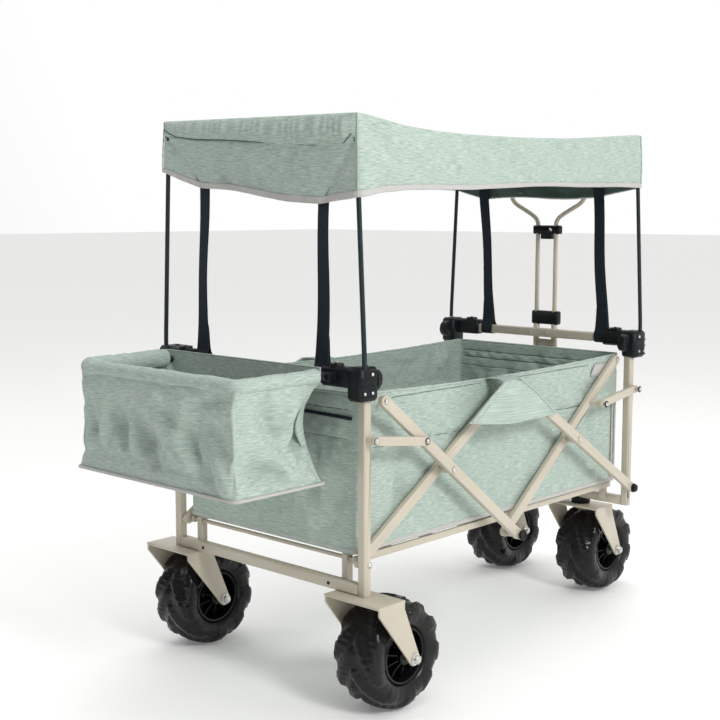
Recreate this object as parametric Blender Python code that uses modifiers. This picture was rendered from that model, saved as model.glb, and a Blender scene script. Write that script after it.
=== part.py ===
"""Folding beach wagon with pull handle, canopy and rear basket. Metres, +X forward, +Z up, wheels on Z = 0."""

import math

import bmesh
import bpy
from mathutils import Matrix, Vector

for old in list(bpy.data.objects):
    bpy.data.objects.remove(old, do_unlink=True)

# driving dimensions. X runs from the rear posts' centre line until everything is shifted at the end
GAP = 0.0003  # between pieces that touch
BASE = 0.890  # rear posts to front posts
POST_Y, POST = 0.259, 0.018
INNER = (0.2365, 0.2485)  # inner scissor bars, |Y|
OUTER = (0.2695, 0.2815)  # outer scissor bars, |Y|
LINK_Y = (0.2830, 0.2890)  # rear links, outside the outer bars
BAR_HALF = 0.0105
FOOT = (0.004, 0.279)  # scissor bar's pivot on the post
CROSS = (0.2284, 0.4208)  # where the two bars of a half cross
MID_TOP = (0.445, 0.5590)
MID_LOW = (0.445, 0.2534)
TIP = (0.0330, 0.5750)  # free upper end of the outer bar
KNEE = (0.1395, 0.4895)  # link's pivot on the bar
LINK_FOOT = (0.0, 0.508)  # link's pivot on the post
RAIL_TOP_X, RAIL_TOP_Z = -0.020, 0.618
RAIL = 0.020
REAR_LOW_Z, FRONT_LOW_Z = 0.2315, 0.2450
BRACKET = (0.579, 0.640)
POLE_X, POLE_Y, POLE_R = -0.018, 0.2756, 0.0045
CANOPY_TOP, CANOPY_SAG, SKIRT = 1.0815, 0.022, 0.957
CANOPY_Y, CANOPY_X, CLOTH = 0.2700, -0.0280, 0.0026
POLE_TOP_Y, STRAP_LEAN = 0.2548, 0.018
STRAP_Y, STRAP_HALF = 0.165, 0.014
WHEEL_R, WHEEL_W, AXLE_R = 0.105, 0.108, 0.006
FORK_W, FORK_TOP, PLATE = 0.136, 0.221, 0.005
REAR_WHEEL = (0.060, 0.261)
CASTER_X, CASTER_Y, TRAIL = 0.895, 0.1350, 0.060
TUB_Y, TUB_LOW, TUB_RIM, TUB_DIP, TUB_WALL = 0.2335, 0.2905, 0.588, 0.009, 0.004
TUB_ENDS = (0.0, 0.890)
FLOOR_PIVOT = (0.012, 0.280)
HANDLE_X, HANDLE_Y, HANDLE_PIVOT = 0.931, 0.026, (0.936, 0.250)
BASKET_PIVOT = (-0.044, 0.620)
BASKET_X, BASKET_Y, BASKET_LOW, BASKET_RIM = (-0.258, -0.0565), 0.2135, 0.430, 0.628
SHIFT = (CASTER_X + TRAIL + WHEEL_R + BASKET_X[0]) / 2

COLOURS = {
    "cream": ((0.67, 0.60, 0.48), 0.35, 0.0),
    "plastic": ((0.012, 0.014, 0.018), 0.45, 0.0),
    "steel": ((0.62, 0.62, 0.60), 0.25, 1.0),
    "fabric": ((0.42, 0.55, 0.47), 0.9, 0.0),
    "webbing": ((0.015, 0.022, 0.032), 0.8, 0.0),
    "pole": ((0.025, 0.035, 0.04), 0.4, 0.0),
    "tyre": ((0.012, 0.012, 0.014), 0.7, 0.0),
    "board": ((0.30, 0.42, 0.35), 0.9, 0.0),
}
parts = bpy.data.collections.new("beach_wagon")
bpy.context.scene.collection.children.link(parts)


def paint(name, kind):
    """A material of its own for each piece."""
    colour, rough, metal = COLOURS[kind]
    mat = bpy.data.materials.new(name)
    mat.use_nodes = True
    shader = mat.node_tree.nodes["Principled BSDF"]
    shader.inputs["Base Color"].default_value = (*colour, 1)
    shader.inputs["Roughness"].default_value = rough
    shader.inputs["Metallic"].default_value = metal
    mat.diffuse_color = (*colour, 1)
    return mat


def box(x, y, z, round_=0.0, segments=1, only=None):
    """A box between pairs of limits. round_ bevels every edge, or just those along the axis in only."""
    bm = bmesh.new()
    size = [b - a for a, b in (x, y, z)]
    middle = [(a + b) / 2 for a, b in (x, y, z)]
    bmesh.ops.create_cube(bm, size=1, matrix=Matrix.Translation(middle) @ Matrix.Diagonal((*size, 1)))
    if round_:
        edges = bm.edges[:]
        if only is not None:
            edges = [e for e in edges if abs((e.verts[0].co - e.verts[1].co)[only]) > 1e-6]
        bmesh.ops.bevel(bm, geom=edges, offset=round_, segments=segments, profile=0.5, affect="EDGES")
    return bm


def rod(start, end, radius, segments=12, radius_end=None):
    bm = bmesh.new()
    a, b = Vector(start), Vector(end)
    turn = Vector((0, 0, 1)).rotation_difference((b - a).normalized()).to_matrix().to_4x4()
    bmesh.ops.create_cone(
        bm, cap_ends=True, segments=segments, radius1=radius,
        radius2=radius if radius_end is None else radius_end, depth=(b - a).length,
        matrix=Matrix.Translation((a + b) / 2) @ turn,
    )
    return bm


def rod_y(x, z, y0, y1, radius, segments=12):
    return rod((x, y0, z), (x, y1, z), radius, segments)


def prism(outline, y0, y1, round_=0.0):
    """An XZ outline extruded along Y, its two rims rounded."""
    bm = bmesh.new()
    face = bm.faces.new([bm.verts.new((x, y0, z)) for x, z in outline])
    out = bmesh.ops.extrude_face_region(bm, geom=[face])
    bmesh.ops.translate(
        bm, vec=(0, y1 - y0, 0), verts=[v for v in out["geom"] if isinstance(v, bmesh.types.BMVert)]
    )
    bmesh.ops.recalc_face_normals(bm, faces=bm.faces[:])
    if round_:
        rims = [e for e in bm.edges if abs(e.verts[0].co.y - e.verts[1].co.y) < 1e-7]
        bmesh.ops.bevel(bm, geom=rims, offset=round_, segments=1, profile=0.5, affect="EDGES")
    return bm


def stadium(p, q, half, steps=5):
    """The outline of a flat bar with round ends, its end centres at p and q."""
    a, b = Vector(p), Vector(q)
    lean = math.atan2((b - a).y, (b - a).x)
    out = []
    for centre, start in ((b, lean - math.pi / 2), (a, lean + math.pi / 2)):
        for i in range(steps + 1):
            t = start + math.pi * i / steps
            out.append((centre.x + half * math.cos(t), centre.y + half * math.sin(t)))
    return out


def joined(*pieces):
    """Separate solids in one mesh."""
    bm = bmesh.new()
    for piece in pieces:
        mesh = bpy.data.meshes.new("piece")
        piece.to_mesh(mesh)
        piece.free()
        bm.from_mesh(mesh)
        bpy.data.meshes.remove(mesh)
    return bm


def loose(bm, name):
    mesh = bpy.data.meshes.new(name)
    bm.to_mesh(mesh)
    bm.free()
    obj = bpy.data.objects.new(name, mesh)
    bpy.context.scene.collection.objects.link(obj)
    return obj


def evaluated(obj):
    graph = bpy.context.evaluated_depsgraph_get()
    mesh = bpy.data.meshes.new_from_object(obj.evaluated_get(graph))
    bm = bmesh.new()
    bm.from_mesh(mesh)
    bpy.data.meshes.remove(mesh)
    return bm


def fuse(pieces, cuts=()):
    """Overlapping solids made one, less the cutters."""
    base = loose(pieces[0], "base")
    helpers = []
    for operation, group in (("UNION", pieces[1:]), ("DIFFERENCE", cuts)):
        for piece in group:
            helper = loose(piece, "helper")
            step = base.modifiers.new(operation, "BOOLEAN")
            step.operation, step.solver, step.object = operation, "EXACT", helper
            helpers.append(helper)
    bm = evaluated(base)
    for obj in (base, *helpers):
        bpy.data.objects.remove(obj, do_unlink=True)
    bmesh.ops.remove_doubles(bm, verts=bm.verts[:], dist=1e-6)
    return bm


def tube(points, radius, resolution=2):
    """A round bar along a path of straight and filleted runs."""
    curve = bpy.data.curves.new("path", "CURVE")
    curve.dimensions = "3D"
    curve.bevel_depth, curve.bevel_resolution, curve.use_fill_caps = radius, resolution, True
    spline = curve.splines.new("POLY")
    spline.points.add(len(points) - 1)
    for point, at in zip(spline.points, points):
        point.co = (*at, 1)
    obj = bpy.data.objects.new("path", curve)
    bpy.context.scene.collection.objects.link(obj)
    bm = evaluated(obj)
    bpy.data.objects.remove(obj, do_unlink=True)
    bmesh.ops.remove_doubles(bm, verts=bm.verts[:], dist=1e-7)
    bmesh.ops.recalc_face_normals(bm, faces=bm.faces[:])
    return bm


def filleted(points, radius, steps=5):
    """The path with each inner corner replaced by an arc-like curve."""
    pts = [Vector(p) for p in points]
    out = [pts[0]]
    for a, b, c in zip(pts, pts[1:], pts[2:]):
        reach = min(radius, (a - b).length * 0.45, (c - b).length * 0.45)
        start, end = b + (a - b).normalized() * reach, b + (c - b).normalized() * reach
        for i in range(steps + 1):
            t = i / steps
            out.append(start * (1 - t) ** 2 + b * 2 * t * (1 - t) + end * t * t)
    return out + [pts[-1]]


def turned(profile, centre, steps=24):
    """A closed (radius, y) profile turned about the Y axis through centre."""
    mesh = bpy.data.meshes.new("profile")
    count = len(profile)
    mesh.from_pydata([(r, y, 0) for r, y in profile], [(i, (i + 1) % count) for i in range(count)], [])
    obj = bpy.data.objects.new("profile", mesh)
    bpy.context.scene.collection.objects.link(obj)
    screw = obj.modifiers.new("Screw", "SCREW")
    screw.axis, screw.steps, screw.render_steps = "Y", steps, steps
    screw.use_merge_vertices, screw.merge_threshold = True, 0.00001
    bm = evaluated(obj)
    bpy.data.objects.remove(obj, do_unlink=True)
    bmesh.ops.recalc_face_normals(bm, faces=bm.faces[:])
    bmesh.ops.translate(bm, vec=centre, verts=bm.verts[:])
    return bm


def side_run(x0, x1, half_y, radius, near, along=14, arc=4):
    """The right-hand half of a rounded rectangle, from its rear edge to its front edge. near rounds the front corner."""
    turns = [math.pi / 2 * i / arc for i in range(arc + 1)]
    out = [(x0 + radius * (1 - math.cos(t)), -half_y + radius * (1 - math.sin(t))) for t in turns]
    first, last = x0 + radius, x1 - near
    out += [(first + (last - first) * i / along, -half_y) for i in range(1, along)]
    out += [(x1 - near * (1 - math.cos(t)), -half_y + near * (1 - math.sin(t))) for t in reversed(turns)]
    return out


def tray(x, half_y, radius, wall, closed, rim, thick=None, near=None):
    """A thin open box. closed and rim give the height of its closed face and of its rim at (x, y)."""
    thick = wall if thick is None else thick
    near = radius if near is None else near
    way = 1 if rim(0, 0) > closed(0, 0) else -1
    bm = bmesh.new()

    def ring(inset, height, shift):
        run = side_run(x[0] + inset, x[1] - inset, half_y - inset, *(max(r - inset, 0.001) for r in (radius, near)))
        right = [bm.verts.new((a, b, height(a, b) + shift)) for a, b in run]
        left = [bm.verts.new((a, -b, height(a, b) + shift)) for a, b in run]
        return right, left

    outer_low, outer_rim = ring(0, closed, 0), ring(0, rim, 0)
    inner_rim, inner_low = ring(wall, rim, 0), ring(wall, closed, way * thick)
    for one, two in ((outer_low, outer_rim), (outer_rim, inner_rim), (inner_rim, inner_low)):
        a, b = (side[0] + side[1][::-1] for side in (one, two))
        for i in range(len(a)):
            j = (i + 1) % len(a)
            bm.faces.new((a[i], a[j], b[j], b[i]))
    for right, left in (outer_low, inner_low):
        for i in range(len(right) - 1):
            bm.faces.new((right[i], right[i + 1], left[i + 1], left[i]))
    bmesh.ops.recalc_face_normals(bm, faces=bm.faces[:])
    return bm


def keep(name, kind, bm, origin=None):
    """Adds the finished piece, its origin on its joint's axis if it moves."""
    centre = Vector(origin) if origin else Vector((0, 0, 0))
    bmesh.ops.translate(bm, vec=-centre, verts=bm.verts[:])
    mesh = bpy.data.meshes.new(name)
    bm.to_mesh(mesh)
    bm.free()
    obj = bpy.data.objects.new(name, mesh)
    obj.location = centre
    parts.objects.link(obj)
    mesh.materials.append(paint(name, kind))
    return obj


def at_end(front, x):
    """Mirrors a rear X to the front half."""
    return BASE - x if front else x


def span(front, x0, x1):
    return tuple(sorted((at_end(front, x0), at_end(front, x1))))


def band(side, limits):
    """|Y| limits turned to one side."""
    return tuple(sorted(side * v for v in limits))


def post(side, front):
    """Square post with the rivets that a scissor bar and a link turn on."""
    low = (FRONT_LOW_Z if front else REAR_LOW_Z) - RAIL / 2
    face = POST_Y + POST / 2
    y = band(side, (POST_Y - POST / 2, face))
    pieces = [box(span(front, -POST / 2, POST / 2), y, (low, 0.632), 0.0022, only=2)]
    fx, lx = at_end(front, FOOT[0]), at_end(front, LINK_FOOT[0])
    inner, outer = (POST_Y, OUTER[1]) if front else (INNER[0] + GAP, POST_Y)
    head = OUTER[1] if front else face - 0.001 - GAP
    pieces.append(rod_y(fx, FOOT[1], side * inner, side * (outer + 0.0012 if front else outer), 0.0040))
    pieces.append(rod_y(fx, FOOT[1], side * (head + GAP), side * (head + 0.0024), 0.0065))
    link_face = OUTER[1] if front else LINK_Y[1]
    pieces.append(rod_y(lx, LINK_FOOT[1], side * POST_Y, side * (link_face + 0.0010), 0.0035))
    pieces.append(rod_y(lx, LINK_FOOT[1], side * (link_face + GAP), side * (link_face + 0.0020), 0.0065))
    if not front:
        pieces.append(rod_y(lx, LINK_FOOT[1], side * (face - 0.001), side * (LINK_Y[0] - GAP), 0.0075))
    return fuse(pieces)


def bracket(side, front):
    """The corner block over the post's top, its arm along the top rail, and the ear the basket hangs on."""
    low, high = BRACKET
    block = box(span(front, -0.034, 0.014), band(side, (0.2445, 0.2825)), (low, high), 0.006)
    arm = box(span(front, -0.034, -0.005), band(side, (0.1815, 0.2500)), (0.602, 0.638), 0.004)
    hook = rod_y(at_end(front, 0.020), 0.6135, *band(side, (0.2505, 0.2675)), 0.0195)
    boss = rod((at_end(front, -0.020), side * 0.210, 0.606), (at_end(front, -0.020), side * 0.210, 0.6425), 0.0138)
    pieces = [block, arm, hook, boss]
    cuts = [
        box(span(front, -0.0095, 0.0095), band(side, (0.2495, 0.2685)), (low - 0.01, 0.6325)),
        rod((at_end(front, POLE_X), side * POLE_Y, 0.586), (at_end(front, POLE_X), side * POLE_Y, 0.66), 0.0049),
    ]
    for x, z in ((-0.004, 0.594), (-0.024, 0.594), (0.004, 0.627)):
        pieces.append(rod_y(at_end(front, x), z, side * 0.2815, side * 0.2838, 0.0034, 8))
    pieces.append(rod((at_end(front, -0.020), side * 0.210, 0.640), (at_end(front, -0.020), side * 0.210, 0.6440), 0.0045, 8))
    pieces.append(rod((at_end(front, 0.000), side * 0.262, high - 0.002), (at_end(front, 0.000), side * 0.262, high + 0.0015), 0.0045, 8))
    if not front:
        pieces.append(rod_y(BASKET_PIVOT[0], BASKET_PIVOT[1], *band(side, (0.2140, 0.2215)), 0.0105))
        pieces.append(box((BASKET_PIVOT[0], -0.030), band(side, (0.2140, 0.2215)), (0.6110, 0.6290)))
        cuts.append(rod_y(*BASKET_PIVOT, *band(side, (0.20, 0.2185)), 0.0034))
    return fuse(pieces, cuts)


def fork(x, y, lean, hole_up=False):
    """A pressed wheel fork: top plate and two tapering legs down to the axle at x + lean."""
    outer, inner = FORK_W / 2, FORK_W / 2 - PLATE
    plate = box((x - 0.038, x + 0.034), (y - outer, y + outer), (FORK_TOP - PLATE, FORK_TOP), 0.0015)
    eye = (x + lean, WHEEL_R)
    leg = [(x - 0.036, FORK_TOP - 0.002), (x - 0.036, FORK_TOP - 0.016)]
    for i in range(9):
        t = math.radians(205 + 190 * i / 8)
        leg.append((eye[0] + 0.0135 * math.cos(t), eye[1] + 0.0135 * math.sin(t)))
    leg += [(x + 0.032, FORK_TOP - 0.016), (x + 0.032, FORK_TOP - 0.002)]
    legs = [prism(leg, y + s * inner, y + s * outer, 0.001) for s in (-1, 1)]
    pieces = [plate, *legs]
    if hole_up:
        pieces.append(rod((x, y, FORK_TOP - 0.003), (x, y, FRONT_LOW_Z + 0.014), 0.006))
    return fuse(pieces, [rod_y(*eye, y - 0.08, y + 0.08, AXLE_R + GAP)])


def axle(x, y):
    """Axle rod with a nut and a washer outside each leg."""
    half = FORK_W / 2
    rod_ = rod_y(x, WHEEL_R, y - half - 0.010, y + half + 0.010, AXLE_R)
    out = [rod_]
    for s in (-1, 1):
        start = y + s * (half + GAP)
        out.append(rod_y(x, WHEEL_R, start, start + s * 0.0015, 0.0115))
        out.append(rod_y(x, WHEEL_R, start + s * 0.0012, start + s * 0.0080, 0.0088, 6))
    return fuse(out)


def tyre(x, y):
    """A balloon tyre with two rows of slanted lugs that meet in a chevron."""
    half, rim_r, lug, around = WHEEL_W / 2, 0.057, 0.0065, 52
    section = [(-0.70, 0.0), (-0.92, 0.30), (-1.0, 0.62), (-0.84, 0.90), (-0.45, 1.0), (-0.06, 1.0)]
    section += [(-u, h) for u, h in reversed(section)]
    body_r = WHEEL_R - lug
    bm = bmesh.new()
    rings = []
    for i in range(around):
        turn = 2 * math.pi * i / around
        ring = []
        for u, h in section:
            r = rim_r + (body_r - rim_r) * h
            phase = (turn / (2 * math.pi) * 13 + 0.42 * abs(u) + (0.5 if u > 0 else 0)) % 1
            if h > 0.8 and phase < 0.5:
                r += lug
            ring.append(bm.verts.new((x + r * math.cos(turn), y + u * half, WHEEL_R + r * math.sin(turn))))
        rings.append(ring)
    for i, ring in enumerate(rings):
        other = rings[(i + 1) % around]
        for k in range(len(ring)):
            m = (k + 1) % len(ring)
            bm.faces.new((ring[k], ring[m], other[m], other[k]))
    bmesh.ops.recalc_face_normals(bm, faces=bm.faces[:])
    return bm


def hub(x, y):
    """Dished wheel centre with a bore for the axle and a rim that carries the tyre."""
    bore, rim = AXLE_R + GAP, 0.057 - GAP
    half = 0.70 * WHEEL_W / 2
    profile = [(bore, -0.058), (0.0170, -0.058), (0.0200, -0.020), (0.040, -0.012),
               (0.0480, -half), (rim, -half)]
    profile += [(r, -y_) for r, y_ in reversed(profile)]
    return turned(profile, (x, y, WHEEL_R))


def bar(front, outer, side, start, end, holes, round_=0.0012):
    """One flat scissor bar with its round ends, cut for the pins that turn in it."""
    y = band(side, OUTER if outer else INNER)
    p, q = ((at_end(front, a), b) for a, b in (start, end))
    outline = stadium(p, q, BAR_HALF)
    cuts = [rod_y(at_end(front, a), b, y[0] - 0.01, y[1] + 0.01, 0.0043) for a, b in holes]
    return fuse([prism(outline, *y, round_)], cuts)


def pin(front, side, at, y0, y1, radius=0.004, head=0.0065, collar=None):
    """A rivet along Y from |y0| out to |y1|, its head outside, with a spacer collar between two bars."""
    x, z = at_end(front, at[0]), at[1]
    out = [rod_y(x, z, side * y0, side * (y1 + 0.0008), radius),
           rod_y(x, z, side * (y1 + GAP), side * (y1 + 0.0020), head)]
    if collar:
        out.append(rod_y(x, z, side * collar[0], side * collar[1], collar[2]))
    return fuse(out)


def link(front, side):
    y = band(side, OUTER if front else LINK_Y)
    p, q = ((at_end(front, a), b) for a, b in (LINK_FOOT, KNEE))
    plate = prism(stadium(p, q, 0.0085), *y, 0.001)
    body = fuse([plate], [rod_y(*p, y[0] - 0.01, y[1] + 0.01, 0.0038)])
    face = max(abs(v) for v in y)
    head = rod_y(*q, side * (face - 0.002), side * (face + 0.0016), 0.0055)
    return fuse([body, head])


def low_rail(front):
    """Cross rail under the end, with the two uprights that the floor frame turns in."""
    z = FRONT_LOW_Z if front else REAR_LOW_Z
    inside = POST_Y - POST / 2 - GAP
    pieces = [box(span(front, -RAIL / 2, RAIL / 2), (-inside, inside), (z - RAIL / 2, z + RAIL / 2), 0.002, only=1)]
    cuts = []
    for side in (-1, 1):
        y = band(side, (0.199, 0.212))
        pieces.append(box(span(front, 0.0040, 0.0195), y, (z, 0.2895), 0.0015, only=1))
        cuts.append(rod_y(at_end(front, FLOOR_PIVOT[0]), FLOOR_PIVOT[1], y[0] - 0.01, y[1] + 0.01, 0.0043))
        if front:
            pieces.append(box((0.895, 0.948), band(side, (0.0365, 0.0425)), (0.2385, 0.2625), 0.003, only=1))
            cuts.append(rod((CASTER_X, side * CASTER_Y, 0.22), (CASTER_X, side * CASTER_Y, 0.27), 0.0064))
    if front:
        pieces.append(rod_y(*HANDLE_PIVOT, -0.0460, 0.0460, 0.0040))
    return fuse(pieces, cuts)


def top_rail(front):
    x = RAIL_TOP_X
    end = 0.1815 - GAP
    rail = box(span(front, x - RAIL / 2, x + RAIL / 2), (-end, end), (RAIL_TOP_Z - RAIL / 2, RAIL_TOP_Z + RAIL / 2),
               0.002, only=1)
    inside = at_end(front, x + RAIL / 2)
    way = -1 if front else 1
    heads = [rod((inside - way * 0.002, y, RAIL_TOP_Z), (inside + way * 0.0012, y, RAIL_TOP_Z), 0.004, 16)
             for y in (-0.0245, 0.0245)]
    return fuse([rail, *heads])


def pole_frame(front):
    """Two canopy poles and the cross bar between them, one bent rod."""
    x, top = at_end(front, POLE_X), CANOPY_TOP - CLOTH - POLE_R - 0.0008
    right = [(x, -POLE_Y, 0.5865), (x, -POLE_Y, 0.655), (x, -POLE_TOP_Y, top)]
    path = right + [(a, -b, c) for a, b, c in reversed(right)]
    return tube(filleted(path, 0.020), POLE_R)


def strap(side, front):
    """Webbing from inside the canopy skirt down to a loop round the top rail."""
    y = band(side, (STRAP_Y - STRAP_HALF, STRAP_Y + STRAP_HALF))
    x, z = RAIL_TOP_X, RAIL_TOP_Z
    half, t = RAIL / 2 + GAP, 0.0022
    ring = box(span(front, x - half - t, x + half + t), y, (z - half - t, z + half + t))
    hole = box(span(front, x - half, x + half), (y[0] - 0.01, y[1] + 0.01), (z - half, z + half))
    tape = box(span(front, -0.0247, -0.0229), y, (z + half + 0.0005, 1.000))
    for vert in tape.verts:
        vert.co.x += (-STRAP_LEAN if front else STRAP_LEAN) * (vert.co.z > 0.9)
    return fuse([ring, tape], [hole])


def canopy():
    def top(x, _):
        s = min(max((x - CANOPY_X) / (BASE - 2 * CANOPY_X), 0), 1)
        return CANOPY_TOP - CANOPY_SAG * (4 * s * (1 - s)) ** 1.3

    def edge(x, _):
        s = min(max((x - CANOPY_X) / (BASE - 2 * CANOPY_X), 0), 1)
        return SKIRT + 0.006 * math.sin(math.pi * s) - 0.017 * (min(s, 1 - s) < 0.004)

    return tray((CANOPY_X, BASE - CANOPY_X), CANOPY_Y, 0.012, CLOTH, top, edge)


def tub():
    """Fabric tub with a flap on each side over the upper middle joint."""
    def rim(x, _):
        s = (x - TUB_ENDS[0]) / (TUB_ENDS[1] - TUB_ENDS[0])
        return TUB_RIM - TUB_DIP * math.sin(math.pi * min(max(s, 0), 1))

    shell = tray(TUB_ENDS, TUB_Y, 0.014, TUB_WALL, lambda x, y: TUB_LOW, rim, 0.004)
    out = [shell]
    for side in (-1, 1):
        flap = bmesh.new()
        rows = []
        for y, z, half in ((TUB_Y - 0.002, 0.5765, 0.034), (0.2875, 0.5765, 0.040), (0.2890, 0.535, 0.090),
                           (0.2905, 0.490, 0.145)):
            rows.append([(0.4350 - half, y, z), (0.4350 + half, y, z)])
        layers = []
        for out_y, up in ((0, 0), (-0.0024, -0.0026)):
            layer = []
            for k, row in enumerate(rows):
                drop = up if k < 2 else 0
                layer.append([flap.verts.new((x, side * (y + (out_y if k else 0)), z + drop)) for x, y, z in row])
            layers.append(layer)
        top, under = layers
        for k in range(3):
            flap.faces.new((top[k][0], top[k][1], top[k + 1][1], top[k + 1][0]))
            flap.faces.new((under[k][0], under[k][1], under[k + 1][1], under[k + 1][0]))
            for e in (0, 1):
                flap.faces.new((top[k][e], top[k + 1][e], under[k + 1][e], under[k][e]))
        for k in (0, 3):
            flap.faces.new((top[k][0], top[k][1], under[k][1], under[k][0]))
        bmesh.ops.recalc_face_normals(flap, faces=flap.faces[:])
        out.append(flap)
    return fuse(out)


def floor_half(front):
    """Half of the folding floor frame: two side rails, slats, and the rod it turns on."""
    y0, y1 = (0.2145, 0.2220) if front else (0.2235, 0.2310)
    x0, x1 = FLOOR_PIVOT[0] - 0.007, MID_TOP[0] + 0.010
    z0, z1 = 0.2735, 0.2865
    pieces = [rod_y(at_end(front, FLOOR_PIVOT[0]), FLOOR_PIVOT[1], -y1 + 0.001, y1 - 0.001, 0.004)]
    pieces += [box(span(front, x0, x1), band(s, (y0, y1)), (z0, z1), 0.001) for s in (-1, 1)]
    for x in (0.100, 0.220, 0.340):
        pieces.append(box(span(front, x, x + 0.018), (-y0 - 0.001, y0 + 0.001), (0.2770, 0.2850)))
    return fuse(pieces)


def basket_frame():
    x, z = BASKET_PIVOT
    y, far = 0.2045, BASKET_X[0] + 0.0095
    path = [(x, -y, z), (far, -y, z), (far, y, z), (x, y, z)]
    pieces = [tube(filleted(path, 0.036, 8), 0.0060)]
    for side in (-1, 1):
        pieces.append(rod_y(x, z, side * 0.1980, side * 0.2130, 0.0085))
        pieces.append(rod_y(x, z, side * 0.2120, side * 0.2180, 0.0030))
    return fuse(pieces)


def basket():
    """Open fabric basket. Its wall next to the tub stops under the frame's side bars."""
    def rim(x, _):
        return BASKET_RIM if x < BASKET_X[1] - 0.012 else BASKET_PIVOT[1] - 0.0075

    return tray(BASKET_X, BASKET_Y, 0.026, 0.0022, lambda x, y: BASKET_LOW, rim, near=0.006)


def bearing(side):
    """Fixed collar under the front cross rail that a caster fork turns against."""
    at = (CASTER_X, side * CASTER_Y)
    collar = rod((*at, FORK_TOP + GAP), (*at, FRONT_LOW_Z - RAIL / 2 - GAP), 0.022, 32)
    return fuse([collar], [rod((*at, 0.2), (*at, 0.26), 0.0064)])


def handle_lower():
    px, pz = HANDLE_PIVOT
    yoke = box((px - 0.0125, px + 0.012), (-0.0345, 0.0345), (pz - 0.012, pz + 0.0125), 0.003, only=1)
    out = [yoke] + [rod((HANDLE_X, s * HANDLE_Y, pz + 0.009), (HANDLE_X, s * HANDLE_Y, 0.6360), 0.0075)
                    for s in (-1, 1)]
    out.append(box((HANDLE_X - 0.004, HANDLE_X + 0.004), (-0.0192, 0.0192), (0.520, 0.600), 0.001))
    cuts = [rod((HANDLE_X, s * HANDLE_Y, pz + 0.020), (HANDLE_X, s * HANDLE_Y, 0.70), 0.0062) for s in (-1, 1)]
    return fuse(out, [*cuts, rod_y(px, pz, -0.05, 0.05, 0.0043)])


def collar_block(z0, z1, tongue=0.0):
    """Black block round both inner handle tubes."""
    pieces = [box((HANDLE_X - 0.0068, HANDLE_X + 0.012), (-0.038, 0.038), (z0, z1), 0.003)]
    if tongue:
        pieces.append(box((HANDLE_X - 0.0055, HANDLE_X + 0.009), (-0.016, 0.016), (z0 - tongue, z0 + 0.004), 0.002))
    cuts = [rod((HANDLE_X, s * HANDLE_Y, z0 - 0.02), (HANDLE_X, s * HANDLE_Y, z1 + 0.02), 0.0058) for s in (-1, 1)]
    return fuse(pieces, cuts)


def handle_upper():
    """Both inner tubes and the hand loop, one bent tube."""
    x = HANDLE_X
    right = [(x, -HANDLE_Y, 0.460), (x, -HANDLE_Y, 0.883), (x, -0.034, 0.895), (x, -0.052, 0.906),
             (x, -0.106, 0.934), (x, -0.112, 0.990)]
    path = right + [(a, -b, c) for a, b, c in reversed(right)]
    return tube(filleted(path, 0.022), 0.0054)


def handle_grip():
    return fuse([rod((HANDLE_X, -0.072, 0.990), (HANDLE_X, 0.072, 0.990), 0.0125)],
                [rod((HANDLE_X, -0.09, 0.990), (HANDLE_X, 0.09, 0.990), 0.0058)])


def build_end(front):
    word = "front" if front else "rear"
    origin = (at_end(True, FOOT[0]), 0, FOOT[1]) if front else None
    for side, letter in ((1, "L"), (-1, "R")):
        keep(f"{word}_post_{letter}", "cream", post(side, front), origin)
        keep(f"{word}_bracket_{letter}", "plastic", bracket(side, front), origin)
        keep(f"{word}_strap_{letter}", "webbing", strap(side, front), origin)
    keep(f"{word}_top_rail", "cream", top_rail(front), origin)
    keep(f"{word}_bottom_rail", "cream", low_rail(front), origin)
    keep(f"{word}_canopy_poles", "pole", pole_frame(front), origin)
    keep(f"{word}_floor_frame", "cream", floor_half(front), (at_end(front, FLOOR_PIVOT[0]), 0, FLOOR_PIVOT[1]))


def build_scissors(side, letter):
    """Four bars and two links a side. Pins ride on the piece their neighbour turns on."""
    between = (INNER[1] + GAP, OUTER[0] - GAP, 0.0085)
    low = bar(False, False, side, FOOT, MID_TOP, [FOOT])
    low_pins = [pin(False, side, at, INNER[1] - 0.002, OUTER[1], 0.004, 0.0065, between) for at in (CROSS, MID_TOP)]
    keep(f"rear_inner_bar_{letter}", "cream", fuse([low, *low_pins]), (FOOT[0], 0, FOOT[1]))
    high = bar(False, True, side, TIP, MID_LOW, [CROSS])
    knob = rod_y(*MID_LOW, side * (INNER[1] + GAP), side * (OUTER[1] + 0.0060), 0.0080)
    tip = rod_y(*TIP, side * (OUTER[1] - 0.002), side * (OUTER[1] + 0.0014), 0.0050)
    knee = rod_y(*KNEE, side * (OUTER[1] - 0.002), side * (LINK_Y[0] - GAP), 0.0060)
    keep(f"rear_outer_bar_{letter}", "cream", fuse([high, knob, tip, knee]), (CROSS[0], 0, CROSS[1]))
    cross = (at_end(True, CROSS[0]), 0, CROSS[1])
    drop = bar(True, True, side, MID_TOP, FOOT, [MID_TOP, CROSS, FOOT])
    keep(f"front_outer_bar_{letter}", "cream", drop, (MID_TOP[0], 0, MID_TOP[1]))
    rise = bar(True, False, side, MID_LOW, TIP, [])
    rise_pin = pin(True, side, CROSS, INNER[1] - 0.002, OUTER[1], 0.004, 0.0065, between)
    tip = rod_y(at_end(True, TIP[0]), TIP[1], side * (INNER[1] - 0.002), side * (INNER[1] + 0.0014), 0.0050)
    knee = rod_y(at_end(True, KNEE[0]), KNEE[1], side * (INNER[1] - 0.002), side * (OUTER[0] - GAP), 0.0060)
    keep(f"front_inner_bar_{letter}", "cream", fuse([rise, rise_pin, tip, knee]), cross)
    keep(f"rear_link_{letter}", "cream", link(False, side), (LINK_FOOT[0], 0, LINK_FOOT[1]))
    keep(f"front_link_{letter}", "cream", link(True, side), (at_end(True, LINK_FOOT[0]), 0, LINK_FOOT[1]))


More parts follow.
